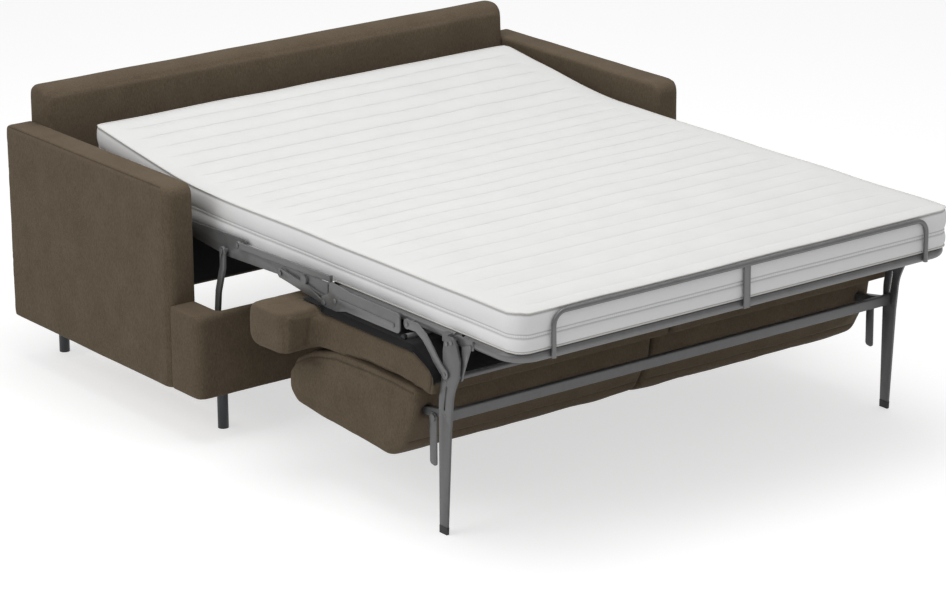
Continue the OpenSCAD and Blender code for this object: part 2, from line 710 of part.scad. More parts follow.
// Mattress: a profile with channels, rounded towards the sides and at the free ends
function channel(p) = channel_deep * pow(1 - abs(sin(180 * (p - head_p) / channel_pitch)), 2);
function top_row(pa, pb, deep, count) =
    [for (i = [count:-1:0]) let(p = pa + (pb - pa) * i / count)
        [p, bed_z + bed_t + rise(p) - deep * channel(p)]];
function mattress_ring(pa, pb, edge, deep, count) = concat(
    [[pa, bed_z + rise(pa) + edge]],
    pa < bend_p && pb > bend_p ? [[bend_p, bed_z + edge]] : [],
    [[pb, bed_z + rise(pb) + edge]],
    [for (q = top_row(pa, pb, deep, count)) [q[0], q[1] - edge]]);
module mattress_part(pa, pb, round_a, round_b) {
    w = bed_w / 2;
    count = round((pb - pa) / channel_pitch * 4);
    // Widths of the rings with their edge inset and the depth of the channels there
    plan = [[w, 9, 0.12], [w - 8, 1.5, 0.12], [w - 60, 0, 0.3], [w - 140, 0, 1]];
    ends = [for (s = plan) [s[0], s[1], s[2], s[0] > w - 40 ? pow((s[0] - w + 40) / 40, 2) * 26 : 0]];
    function outline(s) = mattress_ring(pa + round_a * s[3], pb - round_b * s[3], s[1], s[2], count);
    half = [for (s = ends) ring(outline(s), -s[0])];
    other = [for (k = [len(ends) - 1:-1:0]) ring(outline(ends[k]), ends[k][0])];
    color(white_cloth) loft(concat(half, other));
}
head_fold = [384, 576];
seat_fold = [fold_a[0] - 50, fold_b[0] + 58];
module mattress_head() {
    mattress_part(head_p, head_fold[0] - gap, 1, 0);
}
module mattress_head_fold() {
    mattress_part(head_fold[0], head_fold[1], 0, 0);
}
module mattress_base() {
    mattress_part(head_fold[1] + gap, seat_fold[0] - gap, 0, 0);
}
module mattress_seat_fold() {
    mattress_part(seat_fold[0], seat_fold[1], 0, 0);
}
module mattress_seat() {
    mattress_part(seat_fold[1] + gap, foot_pivot[0] - gap, 0, 0);
}
module mattress_foot() {
    mattress_part(foot_pivot[0] + gap, foot_p, 0, 1);
}

left_arm();
right_arm();
sofa_back();
back_lining();
front_rail();
sills();
sofa_feet();
foot_plates();
side_plates();
side_plate_bolts();
front_struts();
rear_struts();
base_rails();
base_cross_tubes();
base_slats();
base_rivets();
control_bars();
pillow_frame();
pillow_slats();
pillow_brackets();
fold_links();
fold_cross_tube();
hinge_plates();
hinge_spacers();
seat_frame();
seat_slats();
seat_brackets();
seat_board();
seat_rod();
rod_caps();
seat_cushion_left();
seat_cushion_right();
legs();
leg_cross_bar();
leg_shoes();
leg_stays();
small_stays();
leg_rivets();
foot_tube();
foot_slats();
stop_rail();
back_frame();
hanging_bars();
back_cushion_left();
back_cushion_right();
mattress_head();
mattress_head_fold();
mattress_base();
mattress_seat_fold();
mattress_seat();
mattress_foot();
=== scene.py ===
"""Sofa bed, unfolded: woven cover, black lining, powder-coated fold and a thin quilted mattress.

Depths are distances p from the sofa's rear, heights are from the floor, and both are written in
millimetres, as a maker would give them. place() turns them into the frame's metres.
"""

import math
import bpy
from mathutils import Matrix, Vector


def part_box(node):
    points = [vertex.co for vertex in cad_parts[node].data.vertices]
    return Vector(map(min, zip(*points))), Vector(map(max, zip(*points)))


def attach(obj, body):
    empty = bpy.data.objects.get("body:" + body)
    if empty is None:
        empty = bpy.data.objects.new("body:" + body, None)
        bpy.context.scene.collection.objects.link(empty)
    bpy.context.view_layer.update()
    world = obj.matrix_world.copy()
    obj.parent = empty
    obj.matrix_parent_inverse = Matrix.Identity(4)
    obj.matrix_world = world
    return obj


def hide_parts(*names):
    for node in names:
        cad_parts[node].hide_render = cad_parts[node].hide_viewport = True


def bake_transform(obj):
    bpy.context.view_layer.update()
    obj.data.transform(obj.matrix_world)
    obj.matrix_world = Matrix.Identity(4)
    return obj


bl_info = {
    "name": "Unfolded sofa bed",
    "version": (1, 0, 0),
    "blender": (4, 5, 0),
    "location": "3D View > Sidebar > Sofa bed",
    "description": "Covers, cushions, mattress and finishes of a sofa bed with an overturning fold",
    "category": "Object",
}

import bmesh
import bpy
import numpy as np
from mathutils import Matrix, Vector, noise
from mathutils.bvhtree import BVHTree
from mathutils.kdtree import KDTree

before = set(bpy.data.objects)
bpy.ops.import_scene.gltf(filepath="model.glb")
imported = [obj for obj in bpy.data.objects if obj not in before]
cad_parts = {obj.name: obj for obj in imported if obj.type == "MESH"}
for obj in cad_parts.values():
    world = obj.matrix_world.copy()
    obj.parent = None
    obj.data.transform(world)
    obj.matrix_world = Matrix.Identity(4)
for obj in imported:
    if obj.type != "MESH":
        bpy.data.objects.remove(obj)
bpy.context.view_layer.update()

MM = 0.001
BACK, ARM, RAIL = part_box("sofa_back"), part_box("right_arm"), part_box("front_rail")
BASE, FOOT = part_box("mattress_base"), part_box("mattress_foot")
REAR = BACK[1].y
BACK_TOP = BACK[1].z / MM
HALF_WIDTH, ARM_TOP = ARM[1].x / MM, ARM[1].z / MM
ARM_INNER, BODY_FOOT = ARM[0].x / MM, ARM[0].z / MM
ARM_DEPTH = (REAR - ARM[0].y) / MM
RAIL_FRONT, RAIL_TOP = (REAR - RAIL[0].y) / MM, RAIL[1].z / MM
BED_HALF = BASE[1].x / MM
FOOT_END = (REAR - FOOT[0].y) / MM
BED_UNDER = FOOT[0].z / MM
BED_THICK = FOOT[1].z / MM - BED_UNDER
SEAT_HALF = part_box("back_cushion_right")[1].x / MM
NOSE_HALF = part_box("seat_cushion_right")[1].x / MM
# Where the mattress's head end lies, where the mattress starts to rise towards it, and how far it rises
HEAD_END = 205.0
BEND = 670.0
HEAD_RISE = 60.0

# Materials that more than one group of pieces takes
COVER = "polyester_plain_weave_brushed"
THREAD = "polyester_thread_bonded"
FELT = "polypropylene_felt_needled"


def place(x, p, z):
    """A point given by width, distance from the rear and height, in millimetres, as the frame has it."""
    return (x * MM, REAR - p * MM, z * MM)


def rise_at(p):
    """How far the mattress's underside has risen at this depth."""
    return np.maximum(0, BEND - p) * HEAD_RISE / (BEND - HEAD_END)


# Sizes and colours


def length_property(name, description, default, low, high):
    """A size in millimetres, which Blender keeps in metres."""
    return bpy.props.FloatProperty(name=name, description=description, default=default * MM, min=low * MM,
                                   max=high * MM, subtype="DISTANCE", unit="LENGTH")


def colour_property(name, description, default):
    return bpy.props.StringProperty(name=name, description=description, default=default, maxlen=7)


class SofaSizes(bpy.types.PropertyGroup):
    channel_pitch: length_property("Channel pitch", "Distance between two rows of quilting", 72, 30, 90)
    channel_height: length_property(
        "Channel height", "How far the wadding stands up between two rows of quilting", 9, 0, 12)
    piping: length_property("Piping", "Diameter of the mattress's piping", 4.4, 2, 12)
    plate_edge: length_property("Plate edge", "Softened edge of the stamped plates", 0.7, 0, 2)


class SofaColours(bpy.types.PropertyGroup):
    cover: colour_property("Cover", "Woven cover, as an sRGB hex value", "#655949")
    cover_dark: colour_property("Cover, shaded nap", "Where the nap of the cover lies away", "#5B4F40")
    # The felt's black, set darker still as painted shade for where the lining lies deep under the sofa
    lining: colour_property("Lining", "Felted lining", "#09090A")
    ticking: colour_property("Ticking", "Knitted mattress top", "#E2E2E1")
    # Paler than the ticking: painted light that brightens the mattress's side walls
    border: colour_property("Border", "Mattress border", "#F2F2F2")
    piping: colour_property("Piping", "Mattress piping", "#DEDCD8")
    steel: colour_property("Grey coat", "Powder coat of the fold", "#747474")
    dark_steel: colour_property("Dark coat", "Powder coat of the legs", "#626263")
    black_steel: colour_property("Black coat", "Powder coat of the sofa's feet", "#36383B")
    zinc: colour_property("Zinc", "Plated bolts", "#A9ABAD")
    plastic: colour_property("Plastic", "Moulded caps and shoes", "#151517")
    timber: colour_property("Timber", "Sawn pine", "#C49A63")


def sizes():
    return bpy.context.scene.sofa_sizes


def colours():
    return bpy.context.scene.sofa_colours

# Materials


def linear(hex_value):
    """An sRGB hex value as the linear colour that a shader takes."""
    parts = [int(hex_value[i:i + 2], 16) / 255 for i in (1, 3, 5)]
    return [c / 12.92 if c <= 0.04045 else ((c + 0.055) / 1.055) ** 2.4 for c in parts] + [1.0]


def add(tree, kind, settings=None, inputs=None):
    """Adds one shader node with its settings, and links or sets its inputs. A node that is given as an input
    stands for its first output."""
    node = tree.nodes.new("ShaderNode" + kind)
    for key, value in (settings or {}).items():
        setattr(node, key, value)
    for key, value in (inputs or {}).items():
        if isinstance(value, bpy.types.Node):
            value = value.outputs[0]
        if isinstance(value, bpy.types.NodeSocket):
            tree.links.new(value, node.inputs[key])
        else:
            node.inputs[key].default_value = value
    return node


def new_material(name):
    """An empty material, in place of an older one of the same name."""
    found = bpy.data.materials.get(name)
    if found:
        bpy.data.materials.remove(found)
    material = bpy.data.materials.new(name)
    material.use_nodes = True
    material.node_tree.nodes.clear()
    return material, material.node_tree


def surfaced(material, inputs):
    """Closes a material with its shader and its output."""
    tree = material.node_tree
    surface = add(tree, "BsdfPrincipled", inputs=inputs)
    add(tree, "OutputMaterial", inputs={"Surface": surface})
    return material


def woven_height(tree, at, thread_mm):
    """A plain weave on any face: threads of two directions over and under each other."""
    turns = math.pi / (thread_mm * MM)
    scaled = add(tree, "VectorMath", {"operation": "MULTIPLY"}, {0: at, 1: (turns, turns, turns)})
    waves = add(tree, "VectorMath", {"operation": "SINE"}, {0: scaled})
    split = add(tree, "SeparateXYZ", inputs={0: waves})
    turned = add(tree, "CombineXYZ", inputs={
        "X": split.outputs["Y"], "Y": split.outputs["Z"], "Z": split.outputs["X"]})
    return add(tree, "VectorMath", {"operation": "DOT_PRODUCT"}, {0: waves, 1: turned}).outputs["Value"]


def woven_polyester_cover():
    """Polyester velour-finish plain weave, piece dyed and brushed.
    Brushing gives the eye a matt cloth with a fine grain, soft cloudy patches where the nap lies another way,
    a pale sheen at grazing angles and flattened cloth along the seams, darkened there as painted shade."""
    material, tree = new_material(COVER)
    at = add(tree, "TexCoord").outputs["Object"]
    # Clouds of nap, about 90 mm across
    clouds = add(tree, "TexNoise", inputs={"Vector": at, "Scale": 11.0, "Detail": 5.0, "Roughness": 0.6})
    # Slubs of the warp, 2.5 mm across and 8 mm long: the real 0.6 mm thread is too fine to show, so it is
    # drawn four times as coarse
    warp = add(tree, "VectorMath", {"operation": "MULTIPLY"}, {0: at, 1: (1.0, 1.0, 0.3)})
    grain = add(tree, "TexNoise", inputs={"Vector": warp, "Scale": 380.0, "Detail": 3.0, "Roughness": 0.75})
    weave = woven_height(tree, at, 2.4)
    nap = add(tree, "MapRange", inputs={"Value": clouds, "From Min": 0.3, "From Max": 0.75})
    shade = add(tree, "Mix", {"data_type": "RGBA"}, {
        0: nap, 6: linear(colours().cover), 7: linear(colours().cover_dark)})
    flecks = add(tree, "MapRange", inputs={
        "Value": grain, "From Min": 0.25, "From Max": 0.75, "To Min": 0.7, "To Max": 1.26})
    seam = add(tree, "Attribute", {"attribute_name": "seam"})
    # Painted shade along the seams, laid over the flecks of the slubs
    flecks_and_seam_shade = add(tree, "Math", {"operation": "MULTIPLY_ADD"}, {0: seam.outputs["Fac"], 1: -0.3, 2: flecks})
    coloured = add(tree, "VectorMath", {"operation": "SCALE"}, {0: shade.outputs[2], "Scale": flecks_and_seam_shade})
    height = add(tree, "Math", {"operation": "MULTIPLY_ADD"}, {0: weave, 1: 0.22, 2: grain})
    bump = add(tree, "Bump", inputs={"Height": height, "Strength": 0.55, "Distance": 0.6 * MM})
    return surfaced(material, {
        "Base Color": coloured, "Normal": bump, "Roughness": 0.92, "Specular IOR Level": 0.25,
        "Sheen Weight": 0.1, "Sheen Roughness": 0.45, "Sheen Tint": linear("#9A8C78")})


def seam_thread():
    """Bonded polyester thread over the cover's folded edge: the same cloth, darkened as painted shade where
    it turns in.
    """
    material, tree = new_material(THREAD)
    at = add(tree, "TexCoord").outputs["Object"]
    # Stitches 4 mm long
    stitch = add(tree, "TexNoise", inputs={"Vector": at, "Scale": 250.0, "Detail": 1.0})
    shade = add(tree, "MapRange", inputs={"Value": stitch, "To Min": 0.5, "To Max": 0.85})
    # Darker than the cover: painted shade of the groove where the cloth turns in
    coloured = add(tree, "VectorMath", {"operation": "SCALE"}, {
        0: linear(colours().cover_dark)[:3], "Scale": shade})
    return surfaced(material, {"Base Color": coloured, "Roughness": 0.9, "Specular IOR Level": 0.2})


def felted_lining():
    """Needle-punched polypropylene felt, spun black. It is matt, with short crossing fibres and no sheen."""
    material, tree = new_material(FELT)
    at = add(tree, "TexCoord").outputs["Object"]
    # Fibres 3 mm long and 0.5 mm thick, drawn 1 mm thick so that they show
    fibres = add(tree, "TexNoise", inputs={"Vector": at, "Scale": 330.0, "Detail": 3.0, "Distortion": 2.0})
    # The lining's colour holds painted shade as well as the felt's black; the paler fibres are the felt's own
    shade = add(tree, "Mix", {"data_type": "RGBA"}, {
        0: fibres, 6: linear(colours().lining), 7: linear("#1B1B1E")})
    bump = add(tree, "Bump", inputs={"Height": fibres, "Strength": 0.5, "Distance": 0.5 * MM})
    return surfaced(material, {
        "Base Color": shade.outputs[2], "Normal": bump, "Roughness": 0.96, "Specular IOR Level": 0.15,
        "Sheen Weight": 0.15})


def powder_coated_steel(name, hex_value, roughness):
    """Mild steel, electrostatically powder coated and baked. The coat is satin, with a fine orange peel
    about 1.5 mm across, and a little dusty and duller in broad patches."""
    material, tree = new_material(name)
    at = add(tree, "TexCoord").outputs["Object"]
    peel = add(tree, "TexNoise", inputs={"Vector": at, "Scale": 650.0, "Detail": 1.0})
    dust = add(tree, "TexNoise", inputs={"Vector": at, "Scale": 28.0, "Detail": 6.0, "Roughness": 0.65})
    shade = add(tree, "MapRange", inputs={
        "Value": dust, "From Min": 0.3, "From Max": 0.7, "To Min": 0.86, "To Max": 1.1})
    coloured = add(tree, "VectorMath", {"operation": "SCALE"}, {0: linear(hex_value)[:3], "Scale": shade})
    satin = add(tree, "MapRange", inputs={
        "Value": dust, "From Min": 0.3, "From Max": 0.7, "To Min": roughness - 0.05,
        "To Max": roughness + 0.1})
    bump = add(tree, "Bump", inputs={"Height": peel, "Strength": 0.18, "Distance": 0.15 * MM})
    return surfaced(material, {
        "Base Color": coloured, "Normal": bump, "Roughness": satin, "Metallic": 0.35,
        "Specular IOR Level": 0.5})


def zinc_plated_steel():
    """Cold-headed steel, barrel zinc plated: pale grey metal with dulled, slightly mottled faces."""
    material, tree = new_material("steel_headed_zinc_plated")
    at = add(tree, "TexCoord").outputs["Object"]
    bloom = add(tree, "TexNoise", inputs={"Vector": at, "Scale": 220.0, "Detail": 4.0})
    dulled = add(tree, "MapRange", inputs={"Value": bloom, "To Min": 0.28, "To Max": 0.55})
    return surfaced(material, {"Base Color": linear(colours().zinc), "Roughness": dulled, "Metallic": 1.0})


def moulded_plastic():
    """Polypropylene, injection moulded with a spark-eroded texture: matt black with a faint grain."""
    material, tree = new_material("polypropylene_injection_moulded")
    at = add(tree, "TexCoord").outputs["Object"]
    grain = add(tree, "TexNoise", inputs={"Vector": at, "Scale": 900.0, "Detail": 1.0})
    bump = add(tree, "Bump", inputs={"Height": grain, "Strength": 0.25, "Distance": 0.1 * MM})
    return surfaced(material, {"Base Color": linear(colours().plastic), "Normal": bump, "Roughness": 0.5})


def sawn_pine():
    """Pine, band sawn and left rough, with growth rings drawn out along the board and saw marks across."""
    material, tree = new_material("pine_band_sawn")
    at = add(tree, "TexCoord").outputs["Object"]
    drawn = add(tree, "VectorMath", {"operation": "MULTIPLY"}, {0: at, 1: (1.0, 0.05, 1.0)})
    rings = add(tree, "TexWave", {"bands_direction": "X"}, {
        "Vector": drawn, "Scale": 40.0, "Distortion": 6.0, "Detail": 3.0})
    shade = add(tree, "Mix", {"data_type": "RGBA"}, {
        0: rings.outputs["Fac"], 6: linear(colours().timber), 7: linear("#A97C47")})
    saw = add(tree, "TexWave", {"bands_direction": "Y"}, {"Vector": at, "Scale": 120.0, "Distortion": 1.5})
    bump = add(tree, "Bump", inputs={"Height": saw.outputs["Fac"], "Strength": 0.3, "Distance": 0.4 * MM})
    return surfaced(material, {"Base Color": shade.outputs[2], "Normal": bump, "Roughness": 0.8})


def knitted_ticking():
    """Polyester double jersey, circular knitted and quilted over wadding. Off-white and matt, with a fine
    bird's-eye knit and painted shade along the lines where the quilting thread pulls it in. Its pattern is
    laid on the cloth itself, so that it stays put where the mattress bends."""
    material, tree = new_material("polyester_jersey_quilted")
    at = add(tree, "Attribute", {"attribute_name": "cloth_at"}).outputs["Vector"]
    # Knit 1.5 mm apart in the real cloth, drawn at 2.5 mm
    knit = woven_height(tree, at, 2.5)
    soft = add(tree, "TexNoise", inputs={"Vector": at, "Scale": 9.0, "Detail": 3.0})
    seam = add(tree, "Attribute", {"attribute_name": "seam"})
    tone = add(tree, "MapRange", inputs={
        "Value": soft, "From Min": 0.3, "From Max": 0.7, "To Min": 0.965, "To Max": 1.0})
    # Painted shade along the quilting lines, over the cloth's own soft tone
    knit_tone_and_quilt_shade = add(tree, "Math", {"operation": "MULTIPLY_ADD"}, {0: seam.outputs["Fac"], 1: -0.2, 2: tone})
    coloured = add(tree, "VectorMath", {"operation": "SCALE"}, {
        0: linear(colours().ticking)[:3], "Scale": knit_tone_and_quilt_shade})
    bump = add(tree, "Bump", inputs={"Height": knit, "Strength": 0.25, "Distance": 0.3 * MM})
    return surfaced(material, {
        "Base Color": coloured, "Normal": bump, "Roughness": 0.9, "Specular IOR Level": 0.2,
        "Sheen Weight": 0.1})


def border_cloth():
    """Polyester spacer knit, warp knitted and sewn as the mattress's border. A ribbed band runs round it at
    mid height between two rows of stitching, and the rest is smooth."""
    material, tree = new_material("polyester_spacer_knit")
    at = add(tree, "Attribute", {"attribute_name": "cloth_at"}).outputs["Vector"]
    split = add(tree, "SeparateXYZ", inputs={0: at})
    # Ribs 6 mm apart, upright, in the band only
    turns = add(tree, "Math", {"operation": "MULTIPLY"}, {0: split.outputs["X"], 1: 2 * math.pi / (6 * MM)})
    rib = add(tree, "Math", {"operation": "SINE"}, {0: turns})
    band = add(tree, "Attribute", {"attribute_name": "band"})
    knit = woven_height(tree, at, 2.5)
    ribbed = add(tree, "Math", {"operation": "MULTIPLY"}, {0: rib, 1: band.outputs["Fac"]})
    height = add(tree, "Math", {"operation": "MULTIPLY_ADD"}, {0: ribbed, 1: 2.0, 2: knit})
    # Painted shade along the seams beside the piping and along the stitched rows
    seam = add(tree, "Attribute", {"attribute_name": "seam"})
    tone = add(tree, "Math", {"operation": "MULTIPLY_ADD"}, {0: seam.outputs["Fac"], 1: -0.22, 2: 1.0})
    # The ribs' crests drawn a little lighter and their valleys darker: painted light and shade
    shade = add(tree, "Math", {"operation": "MULTIPLY_ADD"}, {0: ribbed, 1: 0.05, 2: tone})
    coloured = add(tree, "VectorMath", {"operation": "SCALE"}, {
        0: linear(colours().border)[:3], "Scale": shade})
    bump = add(tree, "Bump", inputs={"Height": height, "Strength": 0.35, "Distance": 0.35 * MM})
    return surfaced(material, {
        "Base Color": coloured, "Normal": bump, "Roughness": 0.9, "Specular IOR Level": 0.2,
        "Sheen Weight": 0.1})


def piping_tape():
    """Polyester tape, woven on the bias round a cord: pale grey, with slanting threads."""
    material, tree = new_material("polyester_tape_bias_woven")
    at = add(tree, "TexCoord").outputs["Object"]
    threads = add(tree, "TexWave", {"bands_direction": "DIAGONAL"}, {"Vector": at, "Scale": 160.0})
    shade = add(tree, "MapRange", inputs={"Value": threads.outputs["Fac"], "To Min": 0.85, "To Max": 1.05})
    coloured = add(tree, "VectorMath", {"operation": "SCALE"}, {
        0: linear(colours().piping)[:3], "Scale": shade})
    bump = add(tree, "Bump", inputs={"Height": threads.outputs["Fac"], "Strength": 0.3, "Distance": 0.3 * MM})
    return surfaced(material, {
        "Base Color": coloured, "Normal": bump, "Roughness": 0.85, "Specular IOR Level": 0.25})


# Meshes


def fillet(a, b, c, radius, steps):
    """Corner a, b, c rounded with an arc."""
    a, b, c = np.array(a, float), np.array(b, float), np.array(c, float)
    u, v = (a - b) / np.linalg.norm(a - b), (c - b) / np.linalg.norm(c - b)
    half = math.acos(np.clip(u @ v, -1, 1)) / 2
    middle = b + (u + v) / np.linalg.norm(u + v) * radius / math.sin(half)
    first, last = b + u * radius / math.tan(half) - middle, b + v * radius / math.tan(half) - middle
    start = math.atan2(first[1], first[0])
    turn = (math.atan2(last[1], last[0]) - start + math.pi) % (2 * math.pi) - math.pi
    return [middle + radius * np.array([math.cos(angle), math.sin(angle)])
            for angle in (start + turn * i / steps for i in range(steps + 1))]


def rounded(corners, steps=8):
    """Corners (p, z, radius) as a rounded outline."""
    points = []
    for k, (p, z, radius) in enumerate(corners):
        before, after = corners[k - 1], corners[(k + 1) % len(corners)]
        points += fillet(before[:2], (p, z), after[:2], radius, steps)
    return np.array(points)


def run_along(points):
    """Distance from the first point to each point of a row."""
    return np.concatenate([[0], np.cumsum(np.linalg.norm(np.diff(points, axis=0), axis=1))])


def spaced(points, count):
    """A closed outline with evenly spaced points."""
    closed = np.vstack([points, points[:1]])
    run = run_along(closed)
    at = np.linspace(0, run[-1], count, endpoint=False)
    return np.stack([np.interp(at, run, closed[:, i]) for i in range(2)], 1)


def densely(path, step):
    """Points every few millimetres along a path in the frame."""
    path = np.asarray(path, float)
    run = run_along(path)
    at = np.linspace(0, run[-1], max(2, int(run[-1] / (step * MM))))
    return np.stack([np.interp(at, run, path[:, i]) for i in range(3)], 1)


def let_out(points, ease):
    """An outline let out by a distance on all sides."""
    low, high = points.min(0), points.max(0)
    centre, half = (low + high) / 2, (high - low) / 2
    return centre + (points - centre) * (1 + ease / half)


def ring(points, x):
    """An outline (p, z) as points of the frame at one width."""
    return np.array([place(x, p, z) for p, z in points])


def tube_faces(start, rings, sides):
    """Faces of a closed tube whose rings follow each other from one vertex number on."""
    faces = []
    for i in range(rings - 1):
        for k in range(sides):
            a, b = start + i * sides + k, start + i * sides + (k + 1) % sides
            faces.append((a, b, b + sides, a + sides))
    faces.append(tuple(start + k for k in range(sides - 1, -1, -1)))
    faces.append(tuple(start + (rings - 1) * sides + k for k in range(sides)))
    return faces


def loft(name, rings):
    """A closed mesh through a row of rings with equal numbers of points."""
    return new_object(name, np.concatenate(rings), tube_faces(0, len(rings), len(rings[0])))


def new_object(name, verts, faces):
    mesh = bpy.data.meshes.new(name)
    mesh.from_pydata([tuple(map(float, v)) for v in verts], [], [tuple(map(int, f)) for f in faces])
    mesh.update()
    made = bpy.data.objects.new(name, mesh)
    bpy.context.scene.collection.objects.link(made)
    tidy_normals(made)
    return made


def tidy_normals(made):
    work = bmesh.new()
    work.from_mesh(made.data)
    bmesh.ops.recalc_face_normals(work, faces=work.faces)
    work.to_mesh(made.data)
    work.free()


def rows_of(vertices, key):
    """The places or normals of a mesh's vertices, one row each."""
    got = np.zeros(len(vertices) * 3, np.float32)
    vertices.foreach_get(key, got)
    return got.reshape(-1, 3).astype(float)


def points_of(made):
    return rows_of(made.data.vertices, "co")


def normals_of(made):
    return rows_of(made.data.vertices, "normal")


def set_points(made, points):
    """Moves the vertices to new places."""
    made.data.vertices.foreach_set("co", points.astype(np.float32).ravel())
    made.data.update()


def pushed(made, far):
    """Moves every vertex outwards by its own distance."""
    set_points(made, points_of(made) + normals_of(made) * far[:, None])


def apply_modifiers(made):
    """Turns the modifiers' result into the mesh itself."""
    graph = bpy.context.evaluated_depsgraph_get()
    graph.update()
    shaped = bpy.data.meshes.new_from_object(made.evaluated_get(graph))
    made.modifiers.clear()
    old = made.data
    made.data = shaped
    bpy.data.meshes.remove(old)


def remeshed(made, voxel):
    """An even net of faces, and edges a little softer."""
    step = made.modifiers.new("Remesh", "REMESH")
    step.mode = "VOXEL"
    step.voxel_size = voxel * MM
    step.use_smooth_shade = True
    apply_modifiers(made)
    smoothed = made.modifiers.new("Smooth", "SMOOTH")
    smoothed.factor = 0.5
    smoothed.iterations = 4
    apply_modifiers(made)


def swollen(made, free, cap):
    """Blows the cover up like the filling inside does: cloth under pressure, with its movement capped.
    free gives, for each point, the share of the movement that it keeps."""
    start = points_of(made)
    keep = free(start)
    cloth = made.modifiers.new("Cloth", "CLOTH")
    stuff = cloth.settings
    stuff.quality = 4
    stuff.mass = 0.3
    stuff.tension_stiffness = 14
    stuff.compression_stiffness = 14
    stuff.shear_stiffness = 6
    stuff.bending_stiffness = 0.6
    stuff.use_pressure = True
    stuff.uniform_pressure_force = 4
    stuff.effector_weights.gravity = 0
    cloth.collision_settings.use_collision = False
    for number in range(1, 21):
        bpy.context.scene.frame_set(number)
    blown = made.evaluated_get(bpy.context.evaluated_depsgraph_get())
    ended = rows_of(blown.to_mesh().vertices, "co")
    blown.to_mesh_clear()
    # Only what goes outwards counts: the edges stay where the foam inside holds them
    far = np.clip(np.sum((ended - start) * normals_of(made), axis=1), 0, cap * MM)
    made.modifiers.clear()
    bpy.context.scene.frame_set(1)
    pushed(made, far * keep)


def subdivided(made):
    step = made.modifiers.new("Subdivision", "SUBSURF")
    step.levels = 1
    step.render_levels = 1
    apply_modifiers(made)


def rumpled(made, height, size, keep=None):
    """Low folds and hollows in a cover, as laid by hand."""
    points = points_of(made)
    broad, fine = size * MM, size * MM * 0.45
    lift = np.array([noise.noise(Vector(q / broad)) + 0.5 * noise.noise(Vector(q / fine + 7))
                     for q in points])
    if keep is not None:
        lift = lift * keep(points)
    pushed(made, lift * height * MM)


def surface_tree(made):
    """The cover's surface, in the form that finds its nearest point."""
    faces = [tuple(f.vertices) for f in made.data.polygons]
    return BVHTree.FromPolygons([tuple(q) for q in points_of(made)], faces)


def sewn(made, paths, depth, width):
    """Pulls the cover in along its seams, and marks them for the material, which darkens them there as
    painted shade.
    """
    tree = surface_tree(made)
    on = [tree.find_nearest(Vector(q))[0] for path in paths for q in densely(path, 2.0)]
    near = KDTree(len(on))
    for i, q in enumerate(on):
        near.insert(q, i)
    near.balance()
    away = np.array([near.find(Vector(q))[2] for q in points_of(made)]) / (width * MM)
    pull = np.exp(-away ** 2)
    # The cloth lifts a little on both sides of the seam
    lift = 0.35 * np.exp(-((away - 2.4) / 1.1) ** 2)
    pushed(made, (lift - pull) * depth * MM)
    # How much painted shade the material puts on each point near a seam
    mark(made, "seam", np.clip(np.exp(-(away * 1.6) ** 2), 0, 1))


def mark(made, name, values):
    """Keeps one number per vertex for the material."""
    found = made.data.attributes.get(name) or made.data.attributes.new(name, "FLOAT", "POINT")
    found.data.foreach_set("value", np.asarray(values, np.float32))


def finished(made, material, body, stands_for=()):
    """Gives a piece its material and its body, and hides the frame's parts that it stands for."""
    made.data.materials.clear()
    made.data.materials.append(material)
    made.data.polygons.foreach_set("use_smooth", [True] * len(made.data.polygons))
    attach(made, body)
    if stands_for:
        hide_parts(*stands_for)


def mirrored(made, name):
    """The same piece for the other side."""
    twin = made.copy()
    twin.data = made.data.copy()
    twin.name = name
    twin.data.name = name
    bpy.context.scene.collection.objects.link(twin)
    points = points_of(twin)
    points[:, 0] *= -1
    set_points(twin, points)
    twin.data.flip_normals()
    return twin


def pressed(points, rear, front, low, high):
    """An outline (p, z) drawn in by its own amount on each side."""
    (p0, z0), (p1, z1) = points.min(0), points.max(0)
    p = p0 + rear + (points[:, 0] - p0) * (p1 - p0 - rear - front) / (p1 - p0)
    z = z0 + low + (points[:, 1] - z0) * (z1 - z0 - low - high) / (z1 - z0)
    return np.stack([p, z], 1)


def padded_rings(outline, x0, x1, radii, first=None, crown=0.0, middles=9):
    """Rings of a padded body between two widths. Its edges are rounded with radii (rear, front, low, high) at
    the end x1, and with first at x0 where that differs."""
    ends = (first or radii, radii)

    def at(x):
        d, own = min((x - x0, 0), (x1 - x, 1))
        sag = crown * ((2 * x - x0 - x1) / (x1 - x0)) ** 2
        return ring(pressed(outline, *[
            sag + (r - math.sqrt(max(r * r - max(r - d, 0) ** 2, 0)) if r else 0) for r in ends[own]]), x)

    steps = [[max(own) * (1 - math.cos(math.pi / 2 * i / 9)) for i in range(9)] for own in ends]
    inner = np.linspace(x0 + max(ends[0]), x1 - max(ends[1]), middles)
    return [at(x) for x in [x0 + e for e in steps[0]] + list(inner) + [x1 - e for e in reversed(steps[1])]]


def snapped(made, path):
    """A path laid on a cover's surface and smoothed."""
    tree = surface_tree(made)
    line = np.array([tree.find_nearest(Vector(q))[0] for q in densely(path, 7.0)], float)
    for _ in range(2):
        line[1:-1] = (line[:-2] + 2 * line[1:-1] + line[2:]) / 4
    return line


